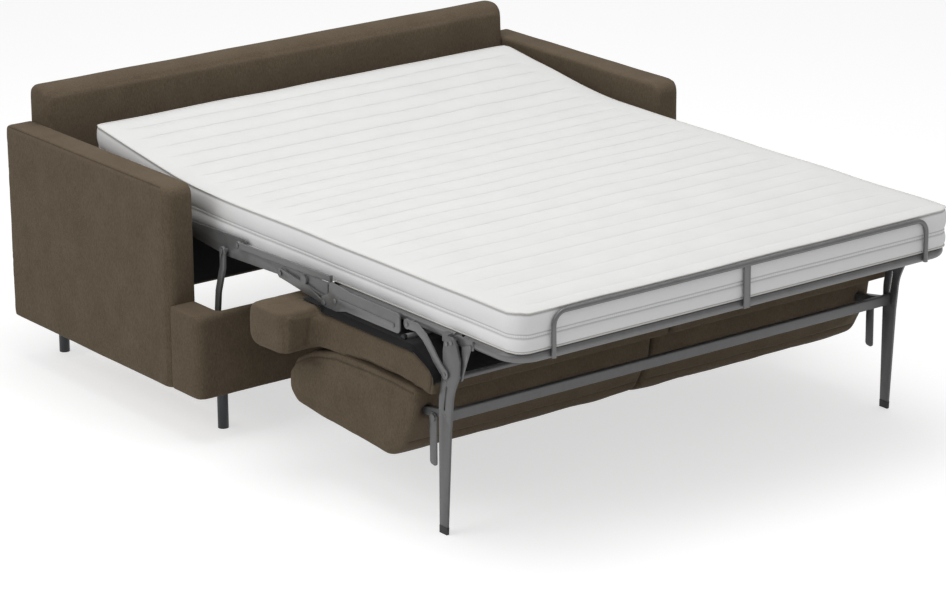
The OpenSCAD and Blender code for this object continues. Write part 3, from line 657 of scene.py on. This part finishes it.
def thread_line(name, made, paths, body):
    """A sewn seam: a fine welt that lies half sunk in the cover along its path."""
    radius, sides = 0.55 * MM, 6
    verts, faces = [], []
    for path in paths:
        line = snapped(made, path)
        ahead = np.gradient(line, axis=0)
        ahead /= np.maximum(np.linalg.norm(ahead, axis=1), 1e-9)[:, None]
        across = np.cross(ahead, np.where(np.abs(ahead[:, 2:]) > 0.9, [[1.0, 0, 0]], [[0, 0, 1.0]]))
        across /= np.linalg.norm(across, axis=1)[:, None]
        upward = np.cross(across, ahead)
        faces += tube_faces(len(verts), len(line), sides)
        for i in range(len(line)):
            for k in range(sides):
                a = 2 * math.pi * k / sides
                verts.append(line[i] + (across[i] * math.cos(a) + upward[i] * math.sin(a)) * radius)
    finished(new_object(name, verts, faces), bpy.data.materials[THREAD], body)


def both_sides(made, seams, threads, node, body):
    """Finishes a right-hand cover with its seams, and the same mirrored for the left."""
    cover = bpy.data.materials[COVER]
    other = mirrored(made, made.name.replace("right", "left"))
    mirror = [[(-q[0], q[1], q[2]) for q in line] for line in seams]
    thread_line(threads, made, seams, body)
    thread_line(threads.replace("right", "left"), other, mirror, body)
    finished(made, cover, body, [node])
    finished(other, cover, body, [node.replace("right", "left")])


def join(made, *others):
    """One mesh out of several closed ones, which the remesh then melts together."""
    work = bmesh.new()
    work.from_mesh(made.data)
    for other in others:
        work.from_mesh(other.data)
    work.to_mesh(made.data)
    work.free()
    for other in others:
        mesh = other.data
        bpy.data.objects.remove(other)
        bpy.data.meshes.remove(mesh)


# Sofa body


class SOFABED_OT_body(bpy.types.Operator):
    """Upholstered arms, back and front rail"""

    bl_idname = "sofabed.body"
    bl_label = "Sofa body"

    def execute(self, context):
        cover = woven_polyester_cover()
        seam_thread()
        self.arms()
        self.back(cover)
        self.rail(cover)
        return {"FINISHED"}

    def arms(self):
        low, high, deep = BODY_FOOT - 3, ARM_TOP + 3, ARM_DEPTH + 4
        outline = spaced(rounded([(0, low, 5), (deep, low, 7), (deep, high, 27), (0, high, 9)]), 190)
        arm = loft("right_arm_cover", padded_rings(
            let_out(outline, 1.0), ARM_INNER - 2, HALF_WIDTH - 0.5, (10, 28, 3, 6), (4, 6, 3, 6), middles=5))
        remeshed(arm, voxel=6)

        def free(points):
            # The inner face lies against the back and the mattress frame, so it stays flat
            return np.clip((points[:, 0] / MM - ARM_INNER - 8) / 20, 0, 1)

        swollen(arm, free, cap=2.5)
        subdivided(arm)
        seam = [place(HALF_WIDTH - 3, p, high - 3) for p in (14, 200, 400, 600, ARM_DEPTH - 30)]
        down = [place(HALF_WIDTH - 3, 3, z) for z in (high - 18, low + 10)]
        sewn(arm, [seam, down], depth=0.8, width=4)
        rumpled(arm, height=0.9, size=170, keep=free)
        both_sides(arm, [seam, down], "right_arm_seams", "right_arm", "root")

    def back(self, cover):
        top = BACK_TOP + 2
        outline = spaced(rounded([(0, BODY_FOOT, 5), (104, BODY_FOOT, 5), (80, top, 34), (0, top, 26)]), 150)
        back = loft("sofa_back_cover", padded_rings(
            let_out(outline, 0.5), -ARM_INNER - 1, ARM_INNER + 1, (10, 12, 3, 16), middles=15))
        remeshed(back, voxel=7)

        def free(points):
            # Held where the arms press on its ends
            low = points[:, 2] / MM < ARM_TOP - 40
            beside = np.abs(points[:, 0]) / MM > ARM_INNER - 16
            return np.where(low & beside, 0.0, 1.0)

        swollen(back, free, cap=3.0)
        subdivided(back)
        rear = [place(x, 4, BACK_TOP - 6) for x in np.linspace(-ARM_INNER + 10, ARM_INNER - 10, 9)]
        sewn(back, [rear], depth=0.8, width=4)
        rumpled(back, height=1.1, size=180, keep=free)
        thread_line("back_seam", back, [rear], "root")
        finished(back, cover, "root", ["sofa_back"])

    def rail(self, cover):
        rear, out, inner = ARM_DEPTH, HALF_WIDTH, ARM_INNER
        low, top, front, behind = BODY_FOOT - 1, RAIL_TOP + 2, RAIL_FRONT + 1, RAIL_FRONT - 26
        block = spaced(rounded([(rear, low, 4), (front, low, 6), (front, top, 18), (rear, top, 6)]), 150)
        apron = spaced(rounded([
            (behind, low, 6), (front, low, 6), (front, top, 12.5), (behind, top, 12.5)]), 150)
        edge, small, steps = 28, 6, 9
        half = []
        # The outer end, rounded widely at the front and a little elsewhere
        for i in range(steps):
            d = edge * (1 - math.cos(math.pi / 2 * i / steps))
            wide = edge - math.sqrt(edge ** 2 - (edge - d) ** 2)
            tight = small - math.sqrt(small ** 2 - max(small - d, 0) ** 2)
            half.append(ring(pressed(block, tight, wide, tight * 0.5, tight), out - d))
        half += [ring(block, x) for x in (out - edge, out - 50, inner + 12)]
        # The block's inner end, and then the thin apron
        for i in range(1, 6):
            angle = math.pi / 2 * i / 6
            tight = 1 - math.cos(angle)
            half.append(ring(pressed(block, 12 * tight, 0, 0, 2 * tight), inner + 12 - 11 * math.sin(angle)))
        half += [ring(apron, inner + x) for x in (0.5, -4, -200, -480)]
        other_half = [q * np.array([-1, 1, 1]) for q in reversed(half)]
        rail = loft("front_rail_cover", half + other_half)
        remeshed(rail, voxel=5)
        subdivided(rail)
        rumpled(rail, height=0.9, size=140)
        finished(rail, cover, "root", ["front_rail"])


# Cushions, as outlines (p, z, radius) read in the photograph

SEAT = [(1160, 355, 34), (1300, 354, 26), (1380, 356, 120), (1500, 368, 160), (1654, 367, 200),
        (1777, 349, 8), (1780, 407, 12), (1696, 443, 60), (1318, 443, 10), (1302, 455, 10), (1160, 455, 30)]
NOSE = [(1153, 350, 32), (1310, 349, 24), (1310, 457, 14), (1153, 458, 28)]
BACK_CUSHION = [(1166, 204, 24), (1198, 174, 34), (1361, 160, 300), (1488, 153, 300), (1594, 144, 34),
                (1650, 174, 50), (1706, 276, 60), (1716, 354, 12), (1400, 362, 300), (1288, 340, 60),
                (1202, 296, 40), (1168, 250, 30)]


class SOFABED_OT_seat(bpy.types.Operator):
    """Seat cushion halves with the wide nose, upside down under the bed, and their lining"""

    bl_idname = "sofabed.seat"
    bl_label = "Seat cushions"

    def execute(self, context):
        ease = 1.0
        seat = loft("seat_cushion_right_cover", padded_rings(
            let_out(spaced(rounded(SEAT), 220), ease), 2.0, SEAT_HALF, (14, 12, 6, 3)))
        nose = loft("nose", padded_rings(
            let_out(spaced(rounded(NOSE), 130), ease), 560, NOSE_HALF + 3, (30, 30, 18, 12), (4, 4, 4, 4),
            middles=5))
        join(seat, nose, self.valley(ease))
        remeshed(seat, voxel=6)

        def free(points):
            p, z = (REAR - points[:, 1]) / MM, points[:, 2] / MM
            on_board = (z > 434) & (p > 1315) | (z > 446) & (p > 1225)
            by_split = np.abs(points[:, 0]) / MM < 12
            return np.where(on_board, 0.1, np.where(by_split, 0.5, 1.0))

        swollen(seat, free, cap=4.0)
        subdivided(seat)
        panel = [place(SEAT_HALF - 4, p, z) for p, z in
                 ((1420, 362), (1500, 369), (1600, 372), (1700, 365), (1764, 356), (1771, 380), (1772, 404))]
        rim = [place(x, 1770, 355) for x in np.linspace(12, SEAT_HALF - 12, 7)]
        end_face = [place(NOSE_HALF - 9, p, z) for p, z in
                    ((1190, 450), (1176, 440), (1168, 420), (1167, 385), (1180, 366), (1200, 360))]
        top_edge = [place(x, 1170, 449) for x in np.linspace(20, NOSE_HALF - 34, 7)]
        sewn(seat, [panel, rim], depth=1.2, width=4)
        rumpled(seat, height=1.8, size=130, keep=free)
        both_sides(seat, [panel, rim, end_face, top_edge], "seat_seams_right", "seat_cushion_right", "seat")
        self.lining()
        return {"FINISHED"}

    def valley(self, ease):
        """Soft valley where the nose meets the side panel."""
        radius, rings = 50.0, []
        end = SEAT_HALF + radius + ease
        for x in np.linspace(SEAT_HALF - 30, end, 14):
            inward = end - max(x, SEAT_HALF + ease)
            p = 1309 + ease + max(radius - math.sqrt(max(radius ** 2 - inward ** 2, 0)), 1.0)
            corners = [(1270, 361, 8), (p, 361, 2), (p, 436, 2), (1270, 446, 8)]
            rings.append(ring(spaced(rounded(corners, 4), 60), x))
        return loft("valley", rings)

    def lining(self):
        """Black lining, drawn tight over the seat board and down to the cushions' edges."""
        path = densely([place(0, p, z) for p, z in (
            (1243, 463), (1312, 462), (1330, 459), (1500, 457.5), (1690, 457), (1708, 449), (1740, 435),
            (1768, 421), (1784, 404), (1785, 386))], 8)
        half = SEAT_HALF
        across = np.concatenate([np.linspace(-half - 1, -half + 10, 9),
                                 np.linspace(-half + 40, half - 40, 70),
                                 np.linspace(half - 10, half + 1, 9)])
        verts = []
        for q in path:
            p = (REAR - q[1]) / MM
            # It falls at both sides of the board, and less over the nose and at the far edge
            drop = 1.2 if p <= 1320 else 12 if p < 1700 else 4.2
            for x in across:
                side = drop * np.clip((abs(x) - (half - 8)) / 9, 0, 1)
                slackness = 0.9 if abs(x) < half - 40 else 0.36
                wrinkle = noise.noise(Vector((x / 45, p / 110, 2.0))) * slackness
                verts.append((x * MM, q[1], q[2] + (wrinkle - side) * MM))
        n = len(across)
        faces = [(i * n + j, i * n + j + 1, (i + 1) * n + j + 1, (i + 1) * n + j)
                 for i in range(len(path) - 1) for j in range(n - 1)]
        lining = new_object("seat_lining", verts, faces)
        if sum(f.normal.z for f in lining.data.polygons) < 0:
            lining.data.flip_normals()
        thick = lining.modifiers.new("Solidify", "SOLIDIFY")
        thick.thickness = 2 * MM
        thick.offset = 1.0
        apply_modifiers(lining)
        finished(lining, felted_lining(), "seat")


class SOFABED_OT_back_cushions(bpy.types.Operator):
    """Back cushion halves, hanging below the seat"""

    bl_idname = "sofabed.back_cushions"
    bl_label = "Back cushions"

    def execute(self, context):
        back = loft("back_cushion_right_cover", padded_rings(
            spaced(rounded(BACK_CUSHION), 220), 2.0, SEAT_HALF + 1, (16, 18, 16, 6), crown=1.5))
        remeshed(back, voxel=6)

        def free(points):
            against_seat = points[:, 2] / MM > 343
            by_split = np.abs(points[:, 0]) / MM < 12
            return np.where(against_seat, 0.3, np.where(by_split, 0.5, 1.0))

        swollen(back, free, cap=6.0)
        subdivided(back)
        top = [place(SEAT_HALF - 6, p, z) for p, z in
               ((1184, 262), (1206, 282), (1250, 305), (1300, 324), (1380, 339), (1500, 343), (1620, 343),
                (1698, 338))]
        low = [place(x, 1662, 196) for x in np.linspace(14, SEAT_HALF - 18, 7)]
        sewn(back, [top, low], depth=1.4, width=5)
        self.pocket(back)
        rumpled(back, height=2.4, size=150, keep=free)
        both_sides(back, [top, low], "back_cushion_seams_right", "back_cushion_right", "back_unit")
        return {"FINISHED"}

    def pocket(self, back):
        """Hollow in the cover where the back unit's tube goes in, with painted shade inside."""
        mouth = np.array(place(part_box("back_frame")[1].x / MM - 19, 1703, 288))
        radius, depth = 17 * MM, 9 * MM
        away = np.linalg.norm((points_of(back) - mouth) * [1, 0.5, 1], axis=1) / radius
        dip = np.exp(-away ** 4)
        pushed(back, -dip * depth)
        seam = np.zeros(len(dip), np.float32)
        back.data.attributes["seam"].data.foreach_get("value", seam)
        # The hollow gets painted shade through the seam mark
        mark(back, "seam", np.maximum(seam, dip * 1.6))


# Mattress

# The border from its upper to its lower seam: how far it bulges in millimetres, the share of the height,
# how much painted shade a seam puts there, and how much the ribbed band does
BORDER = [(0, 0, 1.7, 0), (1.3, 0.035, 1.9, 0), (2.0, 0.055, 1.3, 0), (3.0, 0.08, 0, 0),
          (4.6, 0.16, 0, 0), (5.4, 0.26, 0, 0), (5.2, 0.36, 0, 0), (4.0, 0.45, 0, 0), (2.2, 0.515, 0, 0),
          (0.9, 0.54, 1.3, 0), (0.5, 0.552, 1.6, 0.3), (1.4, 0.565, 0.1, 1), (1.8, 0.59, 0, 1),
          (1.4, 0.615, 0.1, 1), (0.5, 0.628, 1.6, 0.3), (0.9, 0.64, 1.3, 0), (2.8, 0.68, 0, 0),
          (4.2, 0.74, 0, 0), (4.6, 0.82, 0, 0), (3.6, 0.9, 0, 0), (2.0, 0.955, 0, 0), (1.0, 0.975, 1.6, 0),
          (0, 1.0, 2.0, 0)]
TOP_CLOTH, SIDE_CLOTH, TAPE = 0, 1, 2


class SOFABED_OT_mattress(bpy.types.Operator):
    """Thin quilted mattress in stretches; those over the folds are left in place, attached to no body"""

    bl_idname = "sofabed.mattress"
    bl_label = "Mattress"

    def execute(self, context):
        self.cloths = (knitted_ticking(), border_cloth(), piping_tape())
        # Every cut lies on a line of quilting, counted from the head end
        pitch = sizes().channel_pitch / MM
        cut = [HEAD_END + pitch * k for k in (2, 5, 12, 14, 17, 21, 24)]
        stretches = [
            ("mattress_pillow", HEAD_END, cut[0], "pillow", None, ["mattress_head"]),
            ("mattress_pillow_bend", cut[0], cut[1], "pillow", "base", ["mattress_head_fold"]),
            ("mattress_middle", cut[1], cut[2], "base", None, ["mattress_base"]),
            ("mattress_bend_rear", cut[2], cut[3], "base", "fold", ["mattress_seat_fold"]),
            ("mattress_bend_front", cut[3], cut[4], "fold", "seat", []),
            ("mattress_seat_stretch", cut[4], cut[5], "seat", None, ["mattress_seat"]),
            ("mattress_foot_bend", cut[5], cut[6], "seat", "foot", []),
            ("mattress_foot_end", cut[6], FOOT_END, "foot", None, ["mattress_foot"]),
        ]
        for name, start, end, body, to, nodes in stretches:
            piece = self.stretch(name, start, end)
            if nodes:
                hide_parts(*nodes)
            if to:
                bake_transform(piece)
            else:
                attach(piece, body)
        return {"FINISHED"}

    def crown(self, x, p):
        """Height of the quilted top over the mattress's underside, and how much painted shade a quilting
        groove gets there.
        """
        pitch, height = sizes().channel_pitch / MM, sizes().channel_height / MM
        # The quilting fades out from 120 to 40 mm before both sides, and over 40 mm at both ends
        fade = 1 - np.clip((np.abs(x) - (BED_HALF - 120)) / 80, 0, 1) ** 1.5
        along = np.clip(np.minimum(p - HEAD_END, FOOT_END - p) / 40, 0, 1)
        # The quilting thread wanders a few millimetres, and its tension slackens towards the foot end
        fade = fade * (0.4 + 0.6 * np.clip((FOOT_END - 120 - p) / 900, 0, 1))
        line = p - HEAD_END + self.wander * along
        wave = np.abs(np.sin(math.pi * line / pitch))
        puff = np.sqrt(wave) ** 1.2
        # Painted shade in the quilting's grooves, strongest on the line itself
        seam = np.exp(-(wave * pitch / math.pi / 2.4) ** 2) * fade * along
        tuck = 0.5 * np.sin(x / 9.0 + 3 * np.sin(p / 31.0)) * np.exp(-(wave / 0.35) ** 2) * fade
        # The filling stands up from the piping, steeply at first and then over a hand's breadth
        inward = np.maximum(np.minimum(BED_HALF - np.abs(x), np.minimum(p - HEAD_END, FOOT_END - p)), 0)
        steep = 5 * np.sqrt(1 - (1 - np.clip(inward / 24, 0, 1)) ** 2)
        slow = 7 * (1 - (1 - np.clip(inward / 140, 0, 1)) ** 2)
        return BED_THICK - 1 + steep + slow + (puff - 0.75) * height * fade * along + tuck * along, seam

    def top_rise(self, p):
        """Rise of the mattress's top to the head. It bends softly, and its head end is a little fuller."""
        soft = 45.0
        slope = HEAD_RISE / (BEND - HEAD_END)
        fuller = 4 * np.clip((BEND - p) / (BEND - HEAD_END), 0, 1)
        return slope * soft * np.log1p(np.exp((BEND - p) / soft)) + fuller

    def stretch(self, name, start, end):
        at_head, at_foot = start <= HEAD_END + 1, end >= FOOT_END - 1
        # The corners are tight at the head, and rounder at the foot
        corner = 22.0 if at_head else 40.0
        # Columns across, closer together near both sides, and rows about 4 mm apart
        columns, row_pitch = 181, 4.07
        t = np.linspace(-1, 1, columns)
        xs = (BED_HALF - 3) * (0.86 * t + 0.14 * np.sin(t * math.pi / 2) ** 3)
        ps = np.linspace(start, end, max(8, int(round((end - start) / row_pitch))) + 1)
        flat_x, flat_p = np.meshgrid(xs, ps)
        past = np.maximum(np.abs(xs) - (xs[-1] - corner), 0)
        tuck = corner - np.sqrt(np.maximum(corner ** 2 - past ** 2, 0))
        share = (flat_p - start) / (end - start)
        if at_head:
            flat_p = flat_p + (1 - share) * (tuck - 5)[None, :]
        if at_foot:
            flat_p = flat_p - share * (tuck + 3)[None, :]
        rise = rise_at(flat_p)
        knot_pitch = 16
        knots = np.arange(math.floor(start / knot_pitch) * knot_pitch, end + knot_pitch + 0.1, knot_pitch)
        low_wave = self.noisy(xs, knots, ps, 210, 190, 3.0)
        # No wander at a cut, so that neighbouring stretches meet on one line of quilting
        calm = np.clip(np.minimum(ps - start, end - ps) / 60, 0, 1)[:, None]
        self.wander = 7.0 * self.noisy(xs, knots, ps, 260, 420, 9.0) * calm
        lift, seam = self.crown(flat_x, flat_p)
        top_z = BED_UNDER + self.top_rise(flat_p) + lift + 2.4 * low_wave
        self.verts, self.faces, self.slots, self.cloth = [], [], [], []
        self.marks = {"seam": [], "band": []}
        top = np.zeros(flat_x.shape, int)
        for q in np.ndindex(top.shape):
            top[q] = self.point(flat_x[q], flat_p[q], top_z[q], seam[q])
        self.grid(top, TOP_CLOTH)
        bottom = np.full(top.shape, -1)
        for run in self.edge_runs(at_head, at_foot, len(ps), columns):
            self.border(run, flat_x, flat_p, rise, top_z, top, bottom)
        # The flat underside, from the border's lower edge inwards
        for q in np.argwhere(bottom < 0):
            q = tuple(q)
            bottom[q] = self.point(flat_x[q], flat_p[q], BED_UNDER + rise[q] + 0.8)
        self.grid(bottom, TOP_CLOTH)
        made = new_object(name, self.verts, self.faces)
        for material in self.cloths:
            made.data.materials.append(material)
        made.data.polygons.foreach_set("material_index", self.slots)
        made.data.polygons.foreach_set("use_smooth", [True] * len(self.slots))
        for key, values in self.marks.items():
            mark(made, key, values)
        cloth = made.data.attributes.new("cloth_at", "FLOAT_VECTOR", "POINT")
        cloth.data.foreach_set("vector", np.array(self.cloth, np.float32).ravel())
        return made

    def edge_runs(self, at_head, at_foot, rows, columns):
        """The top's open edges as runs of grid places, from the head's left round to the foot's right."""
        edges = []
        if at_head:
            edges.append([(0, j) for j in range(columns - 1, -1, -1)])
        edges.append([(i, 0) for i in range(rows)])
        if at_foot:
            edges.append([(rows - 1, j) for j in range(columns)])
        edges.append([(i, columns - 1) for i in range(rows - 1, -1, -1)])
        joined = []
        for run in edges:
            if joined and joined[-1][-1] == run[0]:
                joined[-1] += run[1:]
            else:
                joined.append(list(run))
        if len(joined) > 1 and joined[-1][-1] == joined[0][0]:
            joined[0] = joined.pop() + joined[0][1:]
        return joined

    def noisy(self, xs, knots, ps, wide, long, seed):
        """Slow noise over the mattress, the same on both sides of a cut."""
        rough = np.array([[noise.noise(Vector((x / wide, p / long, seed))) for x in xs] for p in knots])
        return np.stack([np.interp(ps, knots, rough[:, j]) for j in range(len(xs))], 1)

    def point(self, x, p, z, seam=0.0, band=0.0, cloth=None):
        """Adds a vertex with its marks and its place on the flat cloth, and gives its number."""
        self.verts.append(place(x, p, z))
        self.marks["seam"].append(float(seam))
        self.marks["band"].append(float(band))
        self.cloth.append(cloth if cloth is not None else (x * MM, p * MM, 0.0))
        return len(self.verts) - 1

    def grid(self, numbers, slot):
        """Faces between all neighbours of a table of vertex numbers."""
        for here, after in zip(numbers[:-1], numbers[1:]):
            self.faces += zip(here[:-1], here[1:], after[1:], after[:-1])
            self.slots += [slot] * (len(here) - 1)

    def border(self, run, xs, ps, rise, top_z, top, bottom):
        """Side wall under one run of the top's edge, with its seams, ribbed band and piping."""
        plan = np.array([(xs[q], ps[q]) for q in run])
        ahead = np.gradient(plan, axis=0)
        ahead /= np.linalg.norm(ahead, axis=1)[:, None]
        middle = (ps.min() + ps.max()) / 2
        out = np.stack([ahead[:, 1], -ahead[:, 0]], 1)
        # The normal that points away from the mattress's middle line
        side = np.sign(np.sum(out * np.stack([plan[:, 0], (plan[:, 1] - middle) * 0.6], 1), axis=1))
        side[side == 0] = 1
        out *= side[:, None]
        along = run_along(plan) + plan[0, 1]
        high = np.array([top_z[q] for q in run])
        low = np.array([BED_UNDER + rise[q] + 2 for q in run])
        wall = np.zeros((len(BORDER), len(run)), int)
        wall[0] = [top[q] for q in run]
        for k, (bulge, down, seam, band) in enumerate(BORDER[1:], 1):
            for i, (x, p) in enumerate(plan):
                flutter = noise.noise(Vector((x / 60, p / 60, down * 2)))
                at = plan[i] + out[i] * (bulge + flutter * (1 - abs(2 * down - 1)))
                z = high[i] + (low[i] - high[i]) * down
                wall[k, i] = self.point(at[0], at[1], z, seam, band, (along[i] * MM, z * MM, 0.0))
        self.grid(wall, SIDE_CLOTH)
        for i, q in enumerate(run):
            bottom[q] = wall[-1, i]
        for heights in (high, low):
            self.welt(plan, out, heights)

    def welt(self, plan, out, heights):
        """Piping sewn into the border's upper or lower seam."""
        radius = sizes().piping / MM / 2
        sides = 10
        numbers = np.zeros((len(plan), sides + 1), int)
        for i in range(len(plan)):
            centre = plan[i] + out[i] * 1.4
            for k in range(sides):
                a = 2 * math.pi * k / sides
                at = centre + out[i] * radius * math.cos(a)
                numbers[i, k] = self.point(at[0], at[1], heights[i] + radius * math.sin(a))
            numbers[i, sides] = numbers[i, 0]
        self.grid(numbers, TAPE)
        for row, turn in ((0, 1), (-1, -1)):
            self.faces.append(tuple(numbers[row, :sides][::turn]))
            self.slots.append(TAPE)


# Metalwork

GREY_COAT = [
    "side_plates", "front_struts", "rear_struts", "base_rails", "control_bars", "pillow_brackets",
    "fold_links", "hinge_plates", "leg_stays", "small_stays", "base_slats", "pillow_slats", "seat_slats",
    "foot_slats",
    "base_cross_tubes", "pillow_frame", "fold_cross_tube", "seat_frame", "seat_rod", "foot_tube", "stop_rail",
    "base_rivets", "leg_rivets", "hinge_spacers"]
DARK_COAT = ["legs", "leg_cross_bar", "back_frame", "hanging_bars", "seat_brackets"]
BLACK_COAT = ["sofa_feet", "foot_plates"]
BOLTS = ["side_plate_bolts"]
PLASTICS = ["leg_shoes", "rod_caps"]
LINED = ["back_lining", "seat_board"]


class SOFABED_OT_metalwork(bpy.types.Operator):
    """Finishes of the tubes, plates, fasteners, plastics, timber and lining"""

    bl_idname = "sofabed.metalwork"
    bl_label = "Fold and fittings"

    def execute(self, context):
        finishes = (
            (GREY_COAT, powder_coated_steel("steel_powder_coated_grey", colours().steel, 0.42)),
            (DARK_COAT, powder_coated_steel("steel_powder_coated_dark", colours().dark_steel, 0.40)),
            (BLACK_COAT, powder_coated_steel("steel_powder_coated_black", colours().black_steel, 0.40)),
            (BOLTS, zinc_plated_steel()),
            (PLASTICS, moulded_plastic()),
            (["sills"], sawn_pine()),
            (LINED, bpy.data.materials[FELT]),
        )
        for names, material in finishes:
            for name in names:
                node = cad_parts[name]
                for slot in node.material_slots:
                    slot.material = material
                self.softened(node)
        return {"FINISHED"}

    def softened(self, node):
        """Edges as stamping and coating leave them, instead of knife-sharp ones."""
        weld = node.modifiers.new("Weld", "WELD")
        weld.merge_threshold = 0.02 * MM
        bevel = node.modifiers.new("Edges", "BEVEL")
        bevel.width = sizes().plate_edge
        bevel.segments = 2
        bevel.limit_method = "ANGLE"
        bevel.angle_limit = math.radians(38)
        bevel.use_clamp_overlap = True
        bevel.harden_normals = True
        node.data.polygons.foreach_set("use_smooth", [True] * len(node.data.polygons))


# Stage


def studio_floor():
    """Painted studio floor, seen as plain white, with only the object's shadow on it."""
    material, tree = new_material("studio_paint_rolled")
    seen = add(tree, "LightPath")
    # Pale grey paint for the light that it throws back, and less of it for the eye, so that shadows stay soft
    paint = add(tree, "Mix", {"data_type": "RGBA"}, {
        0: seen.outputs["Is Camera Ray"], 6: linear("#E2E2E2"), 7: linear("#BDBDBD")})
    surface = add(tree, "BsdfPrincipled", inputs={"Base Color": paint.outputs[2], "Roughness": 0.95})
    bright = add(tree, "Math", {"operation": "MAXIMUM"}, {
        0: seen.outputs["Is Camera Ray"], 1: seen.outputs["Is Glossy Ray"]})
    strength = add(tree, "Math", {"operation": "MULTIPLY"}, {0: bright, 1: 0.62})
    glow = add(tree, "Emission", inputs={"Color": (1, 1, 1, 1), "Strength": strength})
    both = add(tree, "AddShader", inputs={0: surface, 1: glow})
    add(tree, "OutputMaterial", inputs={"Surface": both})
    return material


class SOFABED_OT_stage(bpy.types.Operator):
    """Floor, soft studio lights and the camera at the photograph's angle"""

    bl_idname = "sofabed.stage"
    bl_label = "Stage"

    def execute(self, context):
        scene = context.scene
        half = 30.0
        corners = [(-half, -half, 0), (half, -half, 0), (half, half, 0), (-half, half, 0)]
        floor = new_object("studio_floor", corners, [(0, 1, 2, 3)])
        floor.data.materials.append(studio_floor())
        world = bpy.data.worlds.new("studio_light")
        world.use_nodes = True
        tree = world.node_tree
        tree.nodes.clear()
        seen = add(tree, "LightPath")
        strength = add(tree, "MapRange", inputs={
            "Value": seen.outputs["Is Camera Ray"], "To Min": 0.5, "To Max": 1.0})
        sky = add(tree, "Background", inputs={"Color": (1, 1, 1, 1), "Strength": strength})
        add(tree, "OutputWorld", inputs={"Surface": sky})
        scene.world = world
        self.lamp("key_from_left", (-4.4, 0.2, 3.4), (0.0, 0.0, 0.3), 2.6, 50)
        self.lamp("top_softbox", (-0.2, -0.2, 4.3), (0.0, 0.0, 0.3), 3.0, 83)
        self.camera(scene)
        scene.view_settings.view_transform = "Standard"
        return {"FINISHED"}

    def lamp(self, name, at, to, size, power):
        light = bpy.data.lights.new(name, "AREA")
        light.shape = "SQUARE"
        light.size = size
        light.energy = power
        made = bpy.data.objects.new(name, light)
        bpy.context.scene.collection.objects.link(made)
        made.location = at
        made.rotation_euler = (Vector(to) - Vector(at)).to_track_quat("-Z", "Y").to_euler()

    def camera(self, scene):
        # Fitted to the photograph, 946 by 610: the view comes from the front left, 18 degrees above level
        width, focal, offset_x, offset_y, away = 946, 3747.1, -5.7, -3.0, 9.3901
        turn, tilt, roll = math.radians(-37.1), math.radians(18.1), math.radians(-0.5)
        back = Vector((math.sin(turn) * math.cos(tilt), -math.cos(turn) * math.cos(tilt), math.sin(tilt)))
        right = (-back).cross(Vector((0, 0, 1))).normalized()
        up = right.cross(-back)
        across = math.cos(roll) * right + math.sin(roll) * up
        upward = -math.sin(roll) * right + math.cos(roll) * up
        target = Vector((-0.3914, REAR - 1.4502, 0.4335))
        data = bpy.data.cameras.new("photo_view")
        data.sensor_width = 36.0
        data.lens = focal * data.sensor_width / width
        data.shift_x = -offset_x / width
        data.shift_y = offset_y / width
        data.clip_end = 100
        made = bpy.data.objects.new("photo_view", data)
        scene.collection.objects.link(made)
        turned = Matrix((across, upward, back)).transposed().to_4x4()
        made.matrix_world = Matrix.Translation(target + back * away) @ turned
        scene.camera = made


class SOFABED_PT_panel(bpy.types.Panel):
    """Pieces of the sofa bed"""

    bl_idname = "SOFABED_PT_panel"
    bl_label = "Sofa bed"
    bl_space_type = "VIEW_3D"
    bl_region_type = "UI"
    bl_category = "Sofa bed"

    def draw(self, context):
        for group in (context.scene.sofa_sizes, context.scene.sofa_colours):
            for key in group.__annotations__:
                self.layout.prop(group, key)
        for kind in PIECES:
            self.layout.operator(kind.bl_idname)


PIECES = (SOFABED_OT_body, SOFABED_OT_seat, SOFABED_OT_back_cushions, SOFABED_OT_mattress,
          SOFABED_OT_metalwork, SOFABED_OT_stage)
CLASSES = (SofaSizes, SofaColours, *PIECES, SOFABED_PT_panel)


def register():
    for kind in CLASSES:
        bpy.utils.register_class(kind)
    bpy.types.Scene.sofa_sizes = bpy.props.PointerProperty(type=SofaSizes)
    bpy.types.Scene.sofa_colours = bpy.props.PointerProperty(type=SofaColours)


def unregister():
    del bpy.types.Scene.sofa_sizes
    del bpy.types.Scene.sofa_colours
    for kind in reversed(CLASSES):
        bpy.utils.unregister_class(kind)


def main():
    register()
    bpy.ops.sofabed.body()
    bpy.ops.sofabed.seat()
    bpy.ops.sofabed.back_cushions()
    bpy.ops.sofabed.mattress()
    bpy.ops.sofabed.metalwork()
    bpy.ops.sofabed.stage()


if __name__ == "__main__":
    main()
